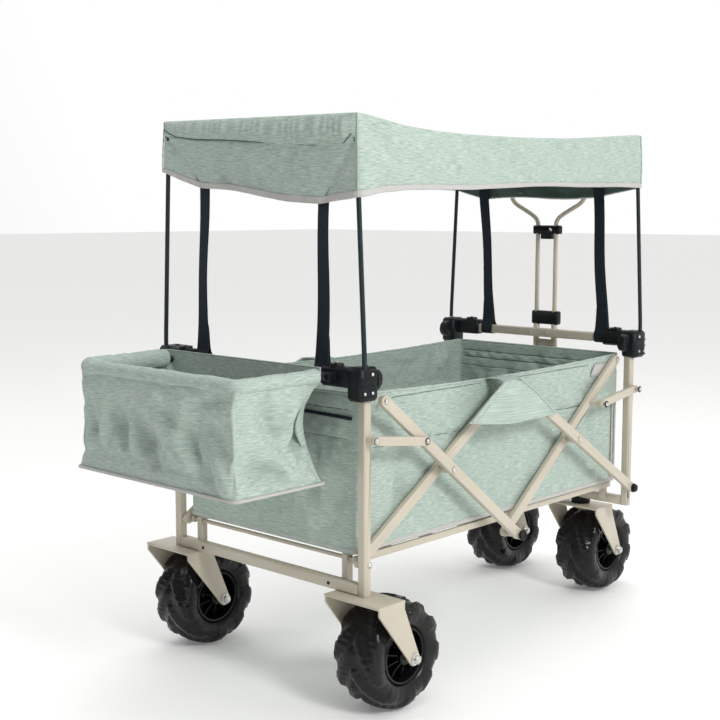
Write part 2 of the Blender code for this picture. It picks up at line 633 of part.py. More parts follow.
def build_running_gear(side, letter):
    x, y = REAR_WHEEL
    keep(f"rear_fork_{letter}", "cream", fork(0.0, side * y, x))
    keep(f"rear_axle_{letter}", "steel", axle(x, side * y))
    keep(f"rear_tyre_{letter}", "tyre", tyre(x, side * y), (x, side * y, WHEEL_R))
    keep(f"rear_hub_{letter}", "plastic", hub(x, side * y), (x, side * y, WHEEL_R))
    y = side * CASTER_Y
    swivel, centre = (CASTER_X, y, FORK_TOP), (CASTER_X + TRAIL, y, WHEEL_R)
    keep(f"swivel_bearing_{letter}", "plastic", bearing(side), (at_end(True, FOOT[0]), 0, FOOT[1]))
    keep(f"caster_fork_{letter}", "cream", fork(CASTER_X, y, TRAIL, True), swivel)
    keep(f"caster_axle_{letter}", "steel", axle(centre[0], y), swivel)
    keep(f"front_tyre_{letter}", "tyre", tyre(centre[0], y), centre)
    keep(f"front_hub_{letter}", "plastic", hub(centre[0], y), centre)


def build_handle():
    pivot = (HANDLE_PIVOT[0], 0, HANDLE_PIVOT[1])
    keep("handle_lower", "cream", handle_lower(), pivot)
    keep("handle_sleeve", "plastic", collar_block(0.6364, 0.6690), pivot)
    keep("handle_upper", "cream", handle_upper(), pivot)
    keep("handle_clamp", "plastic", collar_block(0.8550, 0.8760, 0.012), pivot)
    keep("handle_grip", "plastic", handle_grip(), pivot)


for is_front in (False, True):
    build_end(is_front)
for hand, tag in ((1, "L"), (-1, "R")):
    build_scissors(hand, tag)
    build_running_gear(hand, tag)
build_handle()
keep("tub", "fabric", tub())
keep("floor_board", "board", box((0.008, 0.882), (-0.2270, 0.2270), (0.2950, 0.3030), 0.002))
keep("canopy", "fabric", canopy())
basket_hinge = (BASKET_PIVOT[0], 0, BASKET_PIVOT[1])
keep("basket_frame", "cream", basket_frame(), basket_hinge)
keep("basket", "fabric", basket(), basket_hinge)

for made in parts.objects:
    made.location.x -= SHIFT
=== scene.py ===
import math

import bmesh
import bpy
from mathutils import Matrix, Vector, noise


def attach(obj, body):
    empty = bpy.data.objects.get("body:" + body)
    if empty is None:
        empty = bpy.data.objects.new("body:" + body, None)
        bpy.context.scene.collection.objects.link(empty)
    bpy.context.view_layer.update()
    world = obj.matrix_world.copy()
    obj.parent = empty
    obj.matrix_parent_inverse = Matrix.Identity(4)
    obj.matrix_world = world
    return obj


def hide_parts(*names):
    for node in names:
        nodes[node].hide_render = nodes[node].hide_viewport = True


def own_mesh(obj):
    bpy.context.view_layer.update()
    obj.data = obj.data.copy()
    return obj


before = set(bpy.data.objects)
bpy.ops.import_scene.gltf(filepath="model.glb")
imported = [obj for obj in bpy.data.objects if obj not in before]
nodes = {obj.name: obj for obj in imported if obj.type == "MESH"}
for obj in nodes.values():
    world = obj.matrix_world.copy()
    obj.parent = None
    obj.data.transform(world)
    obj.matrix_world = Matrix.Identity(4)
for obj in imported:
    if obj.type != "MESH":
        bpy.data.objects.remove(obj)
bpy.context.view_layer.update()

# ---- Camera, floor and light ----
# The wagon stands on a plain pale floor, seen from behind its right rear corner at chest height.
# A soft light stands on its right side, a wider one hangs above and a weak one grazes its left rear.
# The room is darker behind the camera, and the floor glows faintly so that its far part stays pale.
lens = bpy.data.cameras.new("camera")
lens.lens, lens.sensor_width = 63.0, 36.0
camera = bpy.data.objects.new("camera", lens)
bpy.context.scene.collection.objects.link(camera)
camera.location = (-2.022, -1.757, 0.914)
camera.rotation_euler = Vector((0.7268, 0.6765, -0.1186)).to_track_quat("-Z", "Y").to_euler()
bpy.context.scene.camera = camera
bpy.context.scene.view_settings.view_transform = "Standard"


def area_light(name, place, aim, size, power):
    light = bpy.data.lights.new(name, "AREA")
    light.shape, light.size, light.energy = "DISK", size, power
    obj = bpy.data.objects.new(name, light)
    obj.location = place
    obj.rotation_euler = (Vector(aim) - Vector(place)).to_track_quat("-Z", "Y").to_euler()
    bpy.context.scene.collection.objects.link(obj)


area_light("key", (-0.9, -3.5, 2.5), (0, 0, 0.5), 1.1, 84)
area_light("top", (0.6, 0.4, 4.2), (0, 0, 0.4), 3.0, 45)
area_light("graze", (-1.7, 2.6, 2.2), (-0.3, 0, 0.7), 0.8, 9)

world = bpy.data.worlds.new("room")
bpy.context.scene.world = world
world.use_nodes = True
room = world.node_tree
coords = room.nodes.new("ShaderNodeTexCoord")
facing = room.nodes.new("ShaderNodeVectorMath")
facing.operation = "DOT_PRODUCT"
facing.inputs[1].default_value = (0.92, -0.05, 0.35)
level = room.nodes.new("ShaderNodeMapRange")
level.inputs["From Min"].default_value, level.inputs["From Max"].default_value = -0.55, 0.5
level.inputs["To Min"].default_value, level.inputs["To Max"].default_value = 0.22, 1.0
room.links.new(coords.outputs["Generated"], facing.inputs[0])
room.links.new(facing.outputs["Value"], level.inputs["Value"])
room.links.new(level.outputs["Result"], room.nodes["Background"].inputs["Strength"])
room.nodes["Background"].inputs["Color"].default_value = (1.0, 1.0, 1.0, 1.0)

ground = bmesh.new()
bmesh.ops.create_grid(ground, x_segments=1, y_segments=1, size=40)
ground_mesh = bpy.data.meshes.new("floor")
ground.to_mesh(ground_mesh)
ground.free()
floor = bpy.data.objects.new("floor", ground_mesh)
bpy.context.scene.collection.objects.link(floor)
pale = bpy.data.materials.new("pale_floor")
pale.use_nodes = True
for key, value in (("Base Color", (0.9, 0.9, 0.89, 1)), ("Roughness", 0.9),
                   ("Emission Color", (1, 1, 1, 1)), ("Emission Strength", 0.12)):
    pale.node_tree.nodes["Principled BSDF"].inputs[key].default_value = value
ground_mesh.materials.append(pale)


# ---- Powder-coated steel frame ----
# Posts, scissor bars, links, rails, forks and handle tubes are thin steel tube and pressed plate.
# They share one cream powder coat, which has a fine orange-peel grain; the bars turn on riveted pins.
def new_group(name, ins, outs):
    """A shader node group, its input node and its output node."""
    tree = bpy.data.node_groups.new(name, "ShaderNodeTree")
    for label, kind, value in ins:
        tree.interface.new_socket(label, in_out="INPUT", socket_type=kind).default_value = value
    for label, kind in outs:
        tree.interface.new_socket(label, in_out="OUTPUT", socket_type=kind)
    return tree, tree.nodes.new("NodeGroupInput"), tree.nodes.new("NodeGroupOutput")


def add(tree, kind, values=None, **settings):
    node = tree.nodes.new(kind)
    for key, value in settings.items():
        setattr(node, key, value)
    for key, value in (values or {}).items():
        node.inputs[key].default_value = value
    return node


def wire(tree, *links):
    """Join nodes. Each link is (node, its output, node, its input)."""
    for source, out, target, into in links:
        tree.links.new(source.outputs[out], target.inputs[into])


COLOUR, NUMBER = "NodeSocketColor", "NodeSocketFloat"
SURFACE = [("Color", COLOUR), ("Roughness", NUMBER), ("Height", NUMBER)]


def grain_group(name, fine, broad):
    """Even paint or plastic: a fine grain in its height, and a faint drift in its colour and roughness."""
    tree, gin, gout = new_group(name, [("Color", COLOUR, (1, 1, 1, 1)), ("Shade", COLOUR, (0.8, 0.8, 0.8, 1)),
                                       ("Roughness", NUMBER, 0.4), ("Drift", NUMBER, 0.1)], SURFACE)
    place = add(tree, "ShaderNodeTexCoord")
    small = add(tree, "ShaderNodeTexNoise", {"Scale": fine, "Detail": 2.0})
    large = add(tree, "ShaderNodeTexNoise", {"Scale": broad, "Detail": 3.0})
    mix = add(tree, "ShaderNodeMix", data_type="RGBA")
    spread = add(tree, "ShaderNodeMapRange", {"From Min": 0.35, "From Max": 0.75})
    rough = add(tree, "ShaderNodeMath", operation="MULTIPLY_ADD")
    for tex in (small, large):
        wire(tree, (place, "Object", tex, "Vector"))
    wire(tree, (large, "Fac", spread, "Value"), (spread, "Result", mix, "Factor"), (gin, "Color", mix, "A"),
         (gin, "Shade", mix, "B"), (spread, "Result", rough, 0), (gin, "Drift", rough, 1),
         (gin, "Roughness", rough, 2), (mix, "Result", gout, "Color"), (rough, "Value", gout, "Roughness"),
         (small, "Fac", gout, "Height"))
    return tree


def finish_of(name, tree, values, bump=0.0002, strength=0.5, **uniform):
    """A material whose colour, roughness and relief come from a group. The rest is set on the shader itself."""
    mat = bpy.data.materials.new(name)
    mat.use_nodes = True
    net = mat.node_tree
    shader = net.nodes["Principled BSDF"]
    for key, value in uniform.items():
        shader.inputs[key.replace("_", " ")].default_value = value
    look = net.nodes.new("ShaderNodeGroup")
    look.node_tree = tree
    for key, value in values.items():
        look.inputs[key].default_value = value
    relief = net.nodes.new("ShaderNodeBump")
    relief.inputs["Strength"].default_value, relief.inputs["Distance"].default_value = strength, bump
    wire(net, (look, "Color", shader, "Base Color"), (look, "Roughness", shader, "Roughness"),
         (look, "Height", relief, "Height"), (relief, "Normal", shader, "Normal"))
    return mat


coat_group = grain_group("even_coat", 1500.0, 7.0)
cream = finish_of("cream_powder_coat", coat_group,
                  {"Color": (0.53, 0.48, 0.39, 1), "Shade": (0.48, 0.43, 0.345, 1), "Roughness": 0.38, "Drift": 0.08},
                  bump=0.00012, strength=0.35, Coat_Weight=0.15, Coat_Roughness=0.25)


def show_cad(names, mat, bevel=0.0007, angle=32):
    """Smooth shading, a small round on every edge and the material, on CAD pieces that are shown as they are."""
    for name in names:
        obj = nodes[name]
        obj.data.materials.clear()
        obj.data.materials.append(mat)
        obj.data.polygons.foreach_set("material_index", [0] * len(obj.data.polygons))
        weld = obj.modifiers.new("weld", "WELD")
        weld.merge_threshold = 0.00002
        if bevel:
            mod = obj.modifiers.new("edges", "BEVEL")
            mod.width, mod.segments, mod.limit_method, mod.angle_limit = bevel, 2, "ANGLE", math.radians(angle)
            mod.harden_normals = True
        obj.data.polygons.foreach_set("use_smooth", [True] * len(obj.data.polygons))
        obj.data.set_sharp_from_angle(angle=math.radians(angle))


SIDES = (("R", -1), ("L", 1))
bars = [f"{n}_{s}" for s, _ in SIDES for n in ("rear_inner_bar", "rear_outer_bar", "front_outer_bar", "front_inner_bar",
                                               "rear_link", "front_link", "rear_post", "front_post")]
show_cad(bars, cream, 0.0008)
show_cad(["rear_top_rail", "rear_bottom_rail", "front_top_rail", "front_bottom_rail"], cream, 0.001)
show_cad(["rear_floor_frame", "front_floor_frame"], cream, 0.0006)


# ---- Rivets, pins and knobs ----
# The pins are steel: bright domed heads pressed over thin washers, set in black rings where a link turns.
# The front feet of the scissors and the lower middle joints carry black plastic caps.
def as_object(name, bm, mat, body, smooth=40):
    mesh = bpy.data.meshes.new(name)
    bm.to_mesh(mesh)
    bm.free()
    mesh.polygons.foreach_set("use_smooth", [True] * len(mesh.polygons))
    if smooth:
        mesh.set_sharp_from_angle(angle=math.radians(smooth))
    mesh.materials.append(mat)
    obj = bpy.data.objects.new(name, mesh)
    bpy.context.scene.collection.objects.link(obj)
    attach(obj, body)
    return obj


def lathe(bm, centre, axis, profile, steps=20):
    """A closed round piece: profile gives (radius, height along axis); a radius of 0 ends it in a point."""
    axis = Vector(axis).normalized()
    side = axis.orthogonal().normalized()
    other = axis.cross(side)
    rows = []
    for radius, height in profile:
        foot = Vector(centre) + axis * height
        if radius < 1e-6:
            rows.append([bm.verts.new(foot)])
        else:
            rows.append([bm.verts.new(foot + side * (radius * math.cos(a)) + other * (radius * math.sin(a)))
                         for a in (2 * math.pi * i / steps for i in range(steps))])
    for low, high in zip(rows, rows[1:]):
        for i in range(steps):
            j = (i + 1) % steps
            corner = [low[i % len(low)], low[j % len(low)], high[j % len(high)], high[i % len(high)]]
            unique = [v for k, v in enumerate(corner) if v not in corner[:k]]
            if len(unique) > 2:
                bm.faces.new(unique)
    bmesh.ops.recalc_face_normals(bm, faces=bm.faces[:])


def dome(r, h, sink=0.001):
    """A rivet or nut head that is r wide and h high, with its foot sunk into the part."""
    return [(0, -sink), (r, -sink), (r, h * 0.15)] + [(r * math.cos(a), h * (0.15 + 0.85 * math.sin(a)))
                                                    for a in (0.35, 0.7, 1.05, 1.3)] + [(0, h)]


steel = finish_of("bright_zinc", coat_group,
                  {"Color": (0.66, 0.65, 0.63, 1), "Shade": (0.52, 0.51, 0.5, 1), "Roughness": 0.24, "Drift": 0.12},
                  bump=0.00005, strength=0.2, Metallic=1.0)
moulded = grain_group("moulded_plastic", 2600.0, 18.0)
black = finish_of("black_nylon", moulded,
                  {"Color": (0.0035, 0.0048, 0.0062, 1), "Shade": (0.006, 0.008, 0.01, 1), "Roughness": 0.36, "Drift": 0.14},
                  bump=0.00012, strength=0.5, Specular_IOR_Level=0.22)

REAR, FRONT = -0.401, 0.489
MIRROR = REAR + FRONT
ENDS = (("rear", lambda x: x), ("front", lambda x: MIRROR - x))
RING = [(0, 0), (0.0072, 0), (0.0072, 0.0009), (0.0064, 0.0013), (0, 0.0013)]
KNOB = [(0, -0.001), (0.0108, -0.001), (0.0108, 0.0035), (0.0095, 0.005), (0.0062, 0.0052), (0.0062, 0.004), (0, 0.004)]
CAP = [(0, -0.001), (0.0105, -0.001), (0.0105, 0.002), (0.0088, 0.0028), (0.0088, 0.0062), (0.0076, 0.0078),
       (0.004, 0.0084), (0, 0.0084)]
for s, w in SIDES:
    out = (0, w, 0)
    for end, at in ENDS:
        rear = end == "rear"
        heads = bmesh.new()
        if rear:
            lathe(heads, (at(-0.397), w * 0.2682, 0.279), out, dome(0.0055, 0.0036))
        for x, z in ((-0.405, 0.594), (-0.425, 0.594), (-0.405, 0.627)):
            lathe(heads, (at(x), w * 0.2826, z), out, dome(0.0034, 0.002))
        for x, y in ((-0.421, 0.21), (-0.401, 0.262)):
            lathe(heads, (at(x), w * y, 0.6405 if y > 0.25 else 0.644), (0, 0, 1), dome(0.0034, 0.002))
        as_object(f"{end}_rivets_{s}", heads, steel, f"{end}_frame")
        link, link_rings = bmesh.new(), bmesh.new()
        for x, z in ((-0.401, 0.508), (-0.2615, 0.4895)):
            lathe(link_rings, (at(x), w * 0.2888, z), out, RING)
            lathe(link, (at(x), w * 0.29, z), out, dome(0.0046, 0.0032))
        as_object(f"{end}_link_rivets_{s}", link, steel, f"{end}_link_{s}")
        as_object(f"{end}_link_rings_{s}", link_rings, black, f"{end}_link_{s}")
        for what, x, z, plane, carrier in (("cross", -0.1726, 0.4208, 0.2816, "outer"),
                                           ("tip", -0.368, 0.575, 0.2826 if rear else 0.2496, "outer" if rear else "inner")):
            bar = bmesh.new()
            lathe(bar, (at(x), w * plane, z), out, dome(0.0056, 0.0036))
            as_object(f"{end}_{what}_rivet_{s}", bar, steel, f"{end}_{carrier}_bar_{s}")
    knob = bmesh.new()
    lathe(knob, (0.044, w * 0.287, 0.2534), out, KNOB, 24)
    as_object(f"lower_middle_knob_{s}", knob, black, f"rear_outer_bar_{s}")
    cap = bmesh.new()
    lathe(cap, (0.485, w * 0.2816, 0.279), out, CAP, 24)
    as_object(f"front_foot_cap_{s}", cap, black, "front_frame")
# Black discs on the rear rail where its holes are: painted shade, standing in for the dark inside of each hole.
hole_shade = bmesh.new()
for y in (-0.178, 0.178):
    lathe(hole_shade, (-0.4112, y, 0.2315), (-1, 0, 0), [(0, 0), (0.0034, 0), (0.0034, 0.0006), (0.0022, 0.0004), (0, 0.0004)], 16)
as_object("rear_rail_hole_shade", hole_shade, black, "rear_frame")


# ---- Corner brackets and other black plastic ----
# Moulded nylon brackets clamp the top rails and posts and take the canopy poles, with ribbed hooks beside them.
# The handle's sleeve, clamp and grip and the collars over the casters are of the same plastic.
show_cad([f"{e}_bracket_{s}" for e in ("rear", "front") for s, _ in SIDES], black, 0.0022, 40)
show_cad(["handle_sleeve", "handle_clamp"], black, 0.0014, 40)
show_cad(["handle_grip"], black, 0.0025, 50)
show_cad(["swivel_bearing_L", "swivel_bearing_R"], black, 0.001)
for end, at in ENDS:
    for s, w in SIDES:
        trim = bmesh.new()
        for z in (0.5865, 0.606, 0.62):
            bmesh.ops.create_cube(trim, size=1)
            for v in trim.verts[-8:]:
                v.co = Vector((at(-0.415) + v.co.x * 0.034, w * 0.2829 + v.co.y * 0.0018, z + v.co.z * 0.0022))
        for x in (-0.388, -0.381, -0.374):
            bmesh.ops.create_cube(trim, size=1)
            for v in trim.verts[-8:]:
                v.co = Vector((at(x) + v.co.x * 0.0022, w * 0.2681 + v.co.y * 0.0018, 0.6135 + v.co.z * 0.024))
        bmesh.ops.bevel(trim, geom=trim.edges[:], offset=0.0005, segments=1, affect="EDGES")
        as_object(f"{end}_bracket_ribs_{s}", trim, black, f"{end}_frame")
snap = bmesh.new()
lathe(snap, (0.5345, -0.014, 0.866), (-1, 0, 0),
      [(0, 0), (0.0048, 0), (0.005, 0.011), (0.0034, 0.0125), (0.0018, 0.012), (0, 0.012)])
as_object("clamp_snap", snap, steel, "handle_extension")


# ---- Wheels ----
# Wide balloon tyres are blow-moulded in shiny black plastic, with deep slanted lugs that meet at the middle.
# Each is pressed on a deep ribbed hub that turns on a plain axle with domed nuts.
def tyre_mesh():
    profile = [(-0.04, 0.0545), (-0.0445, 0.055), (-0.048, 0.06), (-0.05, 0.068), (-0.0505, 0.075), (-0.0495, 0.081),
               (-0.047, 0.0862), (-0.043, 0.0898), (-0.037, 0.0925), (-0.03, 0.0943), (-0.023, 0.0955), (-0.016, 0.0962),
               (-0.009, 0.0966), (-0.003, 0.0968)]
    profile = profile + [(-y, r) for y, r in reversed(profile)]
    bm = bmesh.new()
    steps, lugs = 264, 9
    rows = []
    for k, (y, r) in enumerate(profile):
        before, after = profile[max(k - 1, 0)], profile[min(k + 1, len(profile) - 1)]
        along = Vector((after[0] - before[0], after[1] - before[1])).normalized()
        row = []
        for i in range(steps):
            turn = 2 * math.pi * i / steps
            across = min(abs(y) / 0.052, 1.0)
            phase = (lugs * i / steps + 1.3 * across ** 1.2 + (0.5 if y > 0 else 0)) % 1.0
            edge = abs(phase - 0.5) * 2
            lug = min(max((0.6 - edge) / 0.24, 0), 1)
            lug = lug * lug * (3 - 2 * lug)
            reach = min(max((r - 0.064) / 0.018, 0), 1)
            middle = min(max((abs(y) - 0.0015) / 0.004, 0), 1) if edge > 0.2 else 1
            lift = 0.0064 * lug * reach * (0.55 + 0.45 * middle) * (1 - 0.45 * max(across - 0.8, 0) / 0.2)
            yy = y - along.y * lift
            rr = r + along.x * lift
            yy = min(max(yy, -0.0535), 0.0535)
            row.append(bm.verts.new((rr * math.sin(turn), yy, rr * math.cos(turn))))
        rows.append(row)
    bore = 0.0515
    for y in (0.034, -0.034):
        rows.append([bm.verts.new((bore * math.sin(2 * math.pi * i / steps), y, bore * math.cos(2 * math.pi * i / steps)))
                     for i in range(steps)])
    for a, b in zip(rows, rows[1:] + rows[:1]):
        for i in range(steps):
            j = (i + 1) % steps
            bm.faces.new((a[i], a[j], b[j], b[i]))
    bmesh.ops.recalc_face_normals(bm, faces=bm.faces[:])
    mesh = bpy.data.meshes.new("tyre")
    bm.to_mesh(mesh)
    bm.free()
    mesh.polygons.foreach_set("use_smooth", [True] * len(mesh.polygons))
    return mesh


def hub_mesh():
    bm = bmesh.new()
    half = [(0.0075, 0.0475), (0.015, 0.0475), (0.0165, 0.046), (0.0172, 0.0205), (0.02, 0.018), (0.042, 0.0165), (0.0452, 0.02),
            (0.0478, 0.04), (0.049, 0.043), (0.052, 0.0438), (0.054, 0.042), (0.0543, 0.0345), (0.0512, 0.033)]
    lathe(bm, (0, 0, 0), (0, 1, 0), half + [(r, -y) for r, y in reversed(half)] + [half[0]], 72)
    for w in (-1, 1):
        for k in range(10):
            turn = 2 * math.pi * (k + 0.25 * w) / 10
            out, cross = Vector((math.sin(turn), 0, math.cos(turn))), Vector((math.cos(turn), 0, -math.sin(turn)))
            lines = []
            for r, top in ((0.016, 0.04), (0.03, 0.033), (0.0465, 0.03)):
                lines.append([bm.verts.new(out * r + cross * c + Vector((0, w * y, 0)))
                              for c, y in ((-0.0011, 0.015), (-0.0011, top), (0.0011, top), (0.0011, 0.015))])
            for a, b in zip(lines, lines[1:]):
                for i in range(4):
                    bm.faces.new((a[i], a[(i + 1) % 4], b[(i + 1) % 4], b[i]))
            bm.faces.new(lines[0])
            bm.faces.new(lines[-1])
    bmesh.ops.recalc_face_normals(bm, faces=bm.faces[:])
    mesh = bpy.data.meshes.new("hub")
    bm.to_mesh(mesh)
    bm.free()
    mesh.polygons.foreach_set("use_smooth", [True] * len(mesh.polygons))
    mesh.set_sharp_from_angle(angle=math.radians(35))
    return mesh


rubber_group = grain_group("blown_plastic", 420.0, 11.0)
rubber = finish_of("tyre_black", rubber_group,
                   {"Color": (0.0045, 0.0045, 0.005, 1), "Shade": (0.0085, 0.0078, 0.0072, 1), "Roughness": 0.2, "Drift": 0.24},
                   bump=0.0003, strength=0.3, Specular_IOR_Level=0.3)
hub_black = finish_of("hub_black", moulded,
                      {"Color": (0.003, 0.003, 0.0034, 1), "Shade": (0.006, 0.006, 0.0066, 1), "Roughness": 0.22, "Drift": 0.12},
                      bump=0.0001, strength=0.3, Specular_IOR_Level=0.28)
tyre_shape, hub_shape = tyre_mesh(), hub_mesh()
AXLE_Z = 0.105
NUT = ([(0, -0.002), (0.0078, -0.002), (0.0078, 0.0012), (0.0064, 0.0018)]
       + [(0.0062 * math.cos(a), 0.003 + 0.0052 * math.sin(a)) for a in (0.1, 0.5, 0.9, 1.25)] + [(0, 0.0082)])
tyre_shape.materials.append(rubber)
hub_shape.materials.append(hub_black)
for s, w in SIDES:
    for end, x, y in (("rear", -0.341, 0.261), ("front", 0.554, 0.135)):
        for what, shape in (("tyre", tyre_shape), ("hub", hub_shape)):
            turned = shape.copy()
            turned.transform(Matrix.Translation((x, w * y, AXLE_Z)) @ Matrix.Rotation(0.37 * (w + 2) + x, 4, "Y"))
            obj = bpy.data.objects.new(f"{end}_{what}_shown_{s}", turned)
            bpy.context.scene.collection.objects.link(obj)
            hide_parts(f"{end}_{what}_{s}")
            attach(obj, f"{end}_wheel_{s}")
        nuts = bmesh.new()
        for face in (-1, 1):
            lathe(nuts, (x, w * y + face * 0.0685, AXLE_Z), (0, face, 0), NUT, 24)
        as_object(f"{end}_nuts_{s}", nuts, steel, "rear_frame" if end == "rear" else f"caster_{s}")

# ---- Forks and axles ----
# Each fork is one pressed steel plate folded down on both sides into tapered legs, powder-coated like the frame.
# The rear ones are welded under the posts; the front ones swivel as casters.
show_cad([f"rear_fork_{s}" for s, _ in SIDES] + [f"caster_fork_{s}" for s, _ in SIDES], cream, 0.0018)
show_cad([f"rear_axle_{s}" for s, _ in SIDES] + [f"caster_axle_{s}" for s, _ in SIDES], steel, 0.0004)

# ---- Pull handle ----
# Two outer tubes carry the telescoping inner tubes, whose tops spread out into one hand loop.
# The tubes have the frame's cream coat; a black sleeve and a snap clamp hold them together.
show_cad(["handle_lower", "handle_upper"], cream, 0.0005, 50)

# ---- Canopy poles ----
# Each end has one slim steel rod bent to a wide U, painted dark, standing in the corner brackets.
# The canopy is pulled over the two cross bars.
dark_paint = finish_of("dark_satin_paint", coat_group,
                       {"Color": (0.013, 0.021, 0.025, 1), "Shade": (0.018, 0.027, 0.031, 1), "Roughness": 0.34, "Drift": 0.08},
                       bump=0.00006, strength=0.25, Specular_IOR_Level=0.25)
show_cad(["rear_canopy_poles", "front_canopy_poles"], dark_paint, 0, 60)


# ---- Webbing straps ----
# Four flat black webbing straps hold the canopy down: each is sewn inside the skirt and looped round a top rail.
# The loop's tail lies double on the strap above the rail and is stitched there.
def cloth_grid(name, rows, mat, thickness, body, closed=False, subdivide=1):
    """A sheet through rows of points. Its texture is laid out in metres, along the rows and down them."""
    bm = bmesh.new()
    layer = bm.loops.layers.uv.new("UVMap")
    verts = [[bm.verts.new(p) for p in row] for row in rows]
    count = len(rows[0])
    us = [0.0]
    for i in range(1, count + (1 if closed else 0)):
        us.append(us[-1] + (Vector(rows[0][i % count]) - Vector(rows[0][i - 1])).length)
    middle = count // 2
    vs = [0.0]
    for a, b in zip(rows, rows[1:]):
        vs.append(vs[-1] + (Vector(b[middle]) - Vector(a[middle])).length)
    for k in range(len(rows) - 1):
        for i in range(count if closed else count - 1):
            j = (i + 1) % count
            f = bm.faces.new((verts[k][i], verts[k][j], verts[k + 1][j], verts[k + 1][i]))
            for loop, uv in zip(f.loops, ((us[i], vs[k]), (us[i + 1], vs[k]), (us[i + 1], vs[k + 1]), (us[i], vs[k + 1]))):
                loop[layer].uv = uv
    bmesh.ops.recalc_face_normals(bm, faces=bm.faces[:])
    return sheet_object(name, bm, mat, thickness, body, subdivide)


def sheet_object(name, bm, mat, thickness, body, subdivide=1):
    obj = as_object(name, bm, mat, body, smooth=0)
    if subdivide:
        mod = obj.modifiers.new("smooth", "SUBSURF")
        mod.levels = mod.render_levels = subdivide
    if thickness:
        mod = obj.modifiers.new("cloth", "SOLIDIFY")
        mod.thickness, mod.offset = thickness, 0
    return obj


def woven_group(name, along, across, drift):
    """Cloth laid out in metres: thin slubs that run along its first direction over a finer thread grain."""
    tree, gin, gout = new_group(name, [("Color", COLOUR, (1, 1, 1, 1)), ("Slub", COLOUR, (0.8, 0.8, 0.8, 1)),
                                       ("Roughness", NUMBER, 0.85), ("Amount", NUMBER, 1.0)], SURFACE)
    place = add(tree, "ShaderNodeTexCoord")
    parts = []
    for a, b, detail in ((along, across, 2.0), (along * 0.5, across * 0.52, 3.0), (along * 4.0, across * 1.6, 1.0)):
        size = add(tree, "ShaderNodeMapping", {"Scale": (a, b, 1.0)})
        tex = add(tree, "ShaderNodeTexNoise", {"Scale": 1.0, "Detail": detail, "Roughness": 0.6})
        wire(tree, (place, "UV", size, "Vector"), (size, "Vector", tex, "Vector"))
        parts.append(tex)
    broad, fine, grain = parts
    both = add(tree, "ShaderNodeMath", operation="ADD")
    spread = add(tree, "ShaderNodeMapRange", {"From Min": 1.02 - drift, "From Max": 1.02 + drift, "To Min": 0.0, "To Max": 1.0})
    amount = add(tree, "ShaderNodeMath", operation="MULTIPLY")
    mix = add(tree, "ShaderNodeMix", data_type="RGBA")
    height = add(tree, "ShaderNodeMath", operation="ADD")
    wire(tree, (broad, "Fac", both, 0), (fine, "Fac", both, 1), (both, "Value", spread, "Value"),
         (spread, "Result", amount, 0), (gin, "Amount", amount, 1), (amount, "Value", mix, "Factor"),
         (gin, "Color", mix, "A"), (gin, "Slub", mix, "B"), (mix, "Result", gout, "Color"),
         (gin, "Roughness", gout, "Roughness"), (grain, "Fac", height, 0), (broad, "Fac", height, 1),
         (height, "Value", gout, "Height"))
    return tree


webbing_group = woven_group("webbing_weave", 900.0, 420.0, 0.22)
webbing = finish_of("black_webbing", webbing_group,
                    {"Color": (0.0085, 0.014, 0.02, 1), "Slub": (0.015, 0.023, 0.032, 1), "Roughness": 0.7},
                    bump=0.0004, strength=0.5, Specular_IOR_Level=0.2)
STRAP_Y = 0.165
STRAP_PATH = [(-0.403, 0.99, 14.0), (-0.405, 0.955, 14.0), (-0.4075, 0.9, 14.0), (-0.411, 0.84, 13.8),
              (-0.4145, 0.78, 13.8), (-0.418, 0.72, 14.0), (-0.42, 0.69, 14.5), (-0.421, 0.665, 15.8),
              (-0.4216, 0.645, 17.2), (-0.4232, 0.633, 17.6), (-0.4305, 0.6296, 16.0), (-0.433, 0.6265, 15.2),
              (-0.433, 0.6095, 15.0), (-0.43, 0.606, 15.0), (-0.413, 0.606, 15.0), (-0.4095, 0.609, 15.0),
              (-0.4095, 0.6265, 15.2), (-0.412, 0.631, 16.0),
              (-0.4172, 0.636, 17.2), (-0.4186, 0.652, 16.8), (-0.4183, 0.672, 15.2), (-0.4178, 0.692, 14.2)]
for end, at in ENDS:
    for s, w in SIDES:
        rows = []
        for k, (x, z, half) in enumerate(STRAP_PATH):
            x = at(x)
            free = max(0.0, min((z - 0.66) / 0.1, (0.99 - z) / 0.1, 1.0))
            lean = 0.004 * free * math.sin(z * 17 + w + (2 if end == "front" else 0))
            lean = lean - 0.0095 * min(max((0.97 - z) / 0.3, 0), 1)
            rows.append([Vector((x + free * 0.002 * c * math.sin(z * 9 + w), w * STRAP_Y + c * half / 1000 + lean, z))
                         for c in (-1, -0.5, 0, 0.5, 1)])
        strap = cloth_grid(f"{end}_strap_shown_{s}", rows, webbing, 0.0016, f"{end}_frame")
        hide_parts(f"{end}_strap_{s}")


# ---- Fabric tub ----
# The tub is padded heathered polyester cut as a cross and sewn at its four corners, bound in grey at the bottom.
# Its hem is turned over a cord, and a flap on each side is sewn into the hem and hangs over the upper middle joint.
def fold(u, v, a, b, width, depth):
    """How far one soft crease from a to b lifts the cloth at (u, v)."""
    dx, dy = b[0] - a[0], b[1] - a[1]
    t = min(max(((u - a[0]) * dx + (v - a[1]) * dy) / (dx * dx + dy * dy), 0), 1)
    away = (u - a[0] - t * dx) ** 2 + (v - a[1] - t * dy) ** 2
    wide = width * (1.15 - 0.6 * t)
    return depth * max(0.0, 1 - math.sqrt(away) / (2.3 * wide)) * math.sin(math.pi * (0.12 + 0.76 * t))


def ripple(u, v, scale, depth, seed):
    """Shallow unevenness, longer along v than along u."""
    return depth * noise.noise(Vector((u * scale, v * scale * 0.45, seed)))


def crumple(u, v, scale, depth, seed):
    """Sharp little creases between flatter patches."""
    broad = abs(noise.noise(Vector((u * scale, v * scale, seed))))
    fine = abs(noise.noise(Vector((u * scale * 2.1, v * scale * 2.1, seed + 5))))
    return depth * (0.22 - broad - 0.5 * fine)


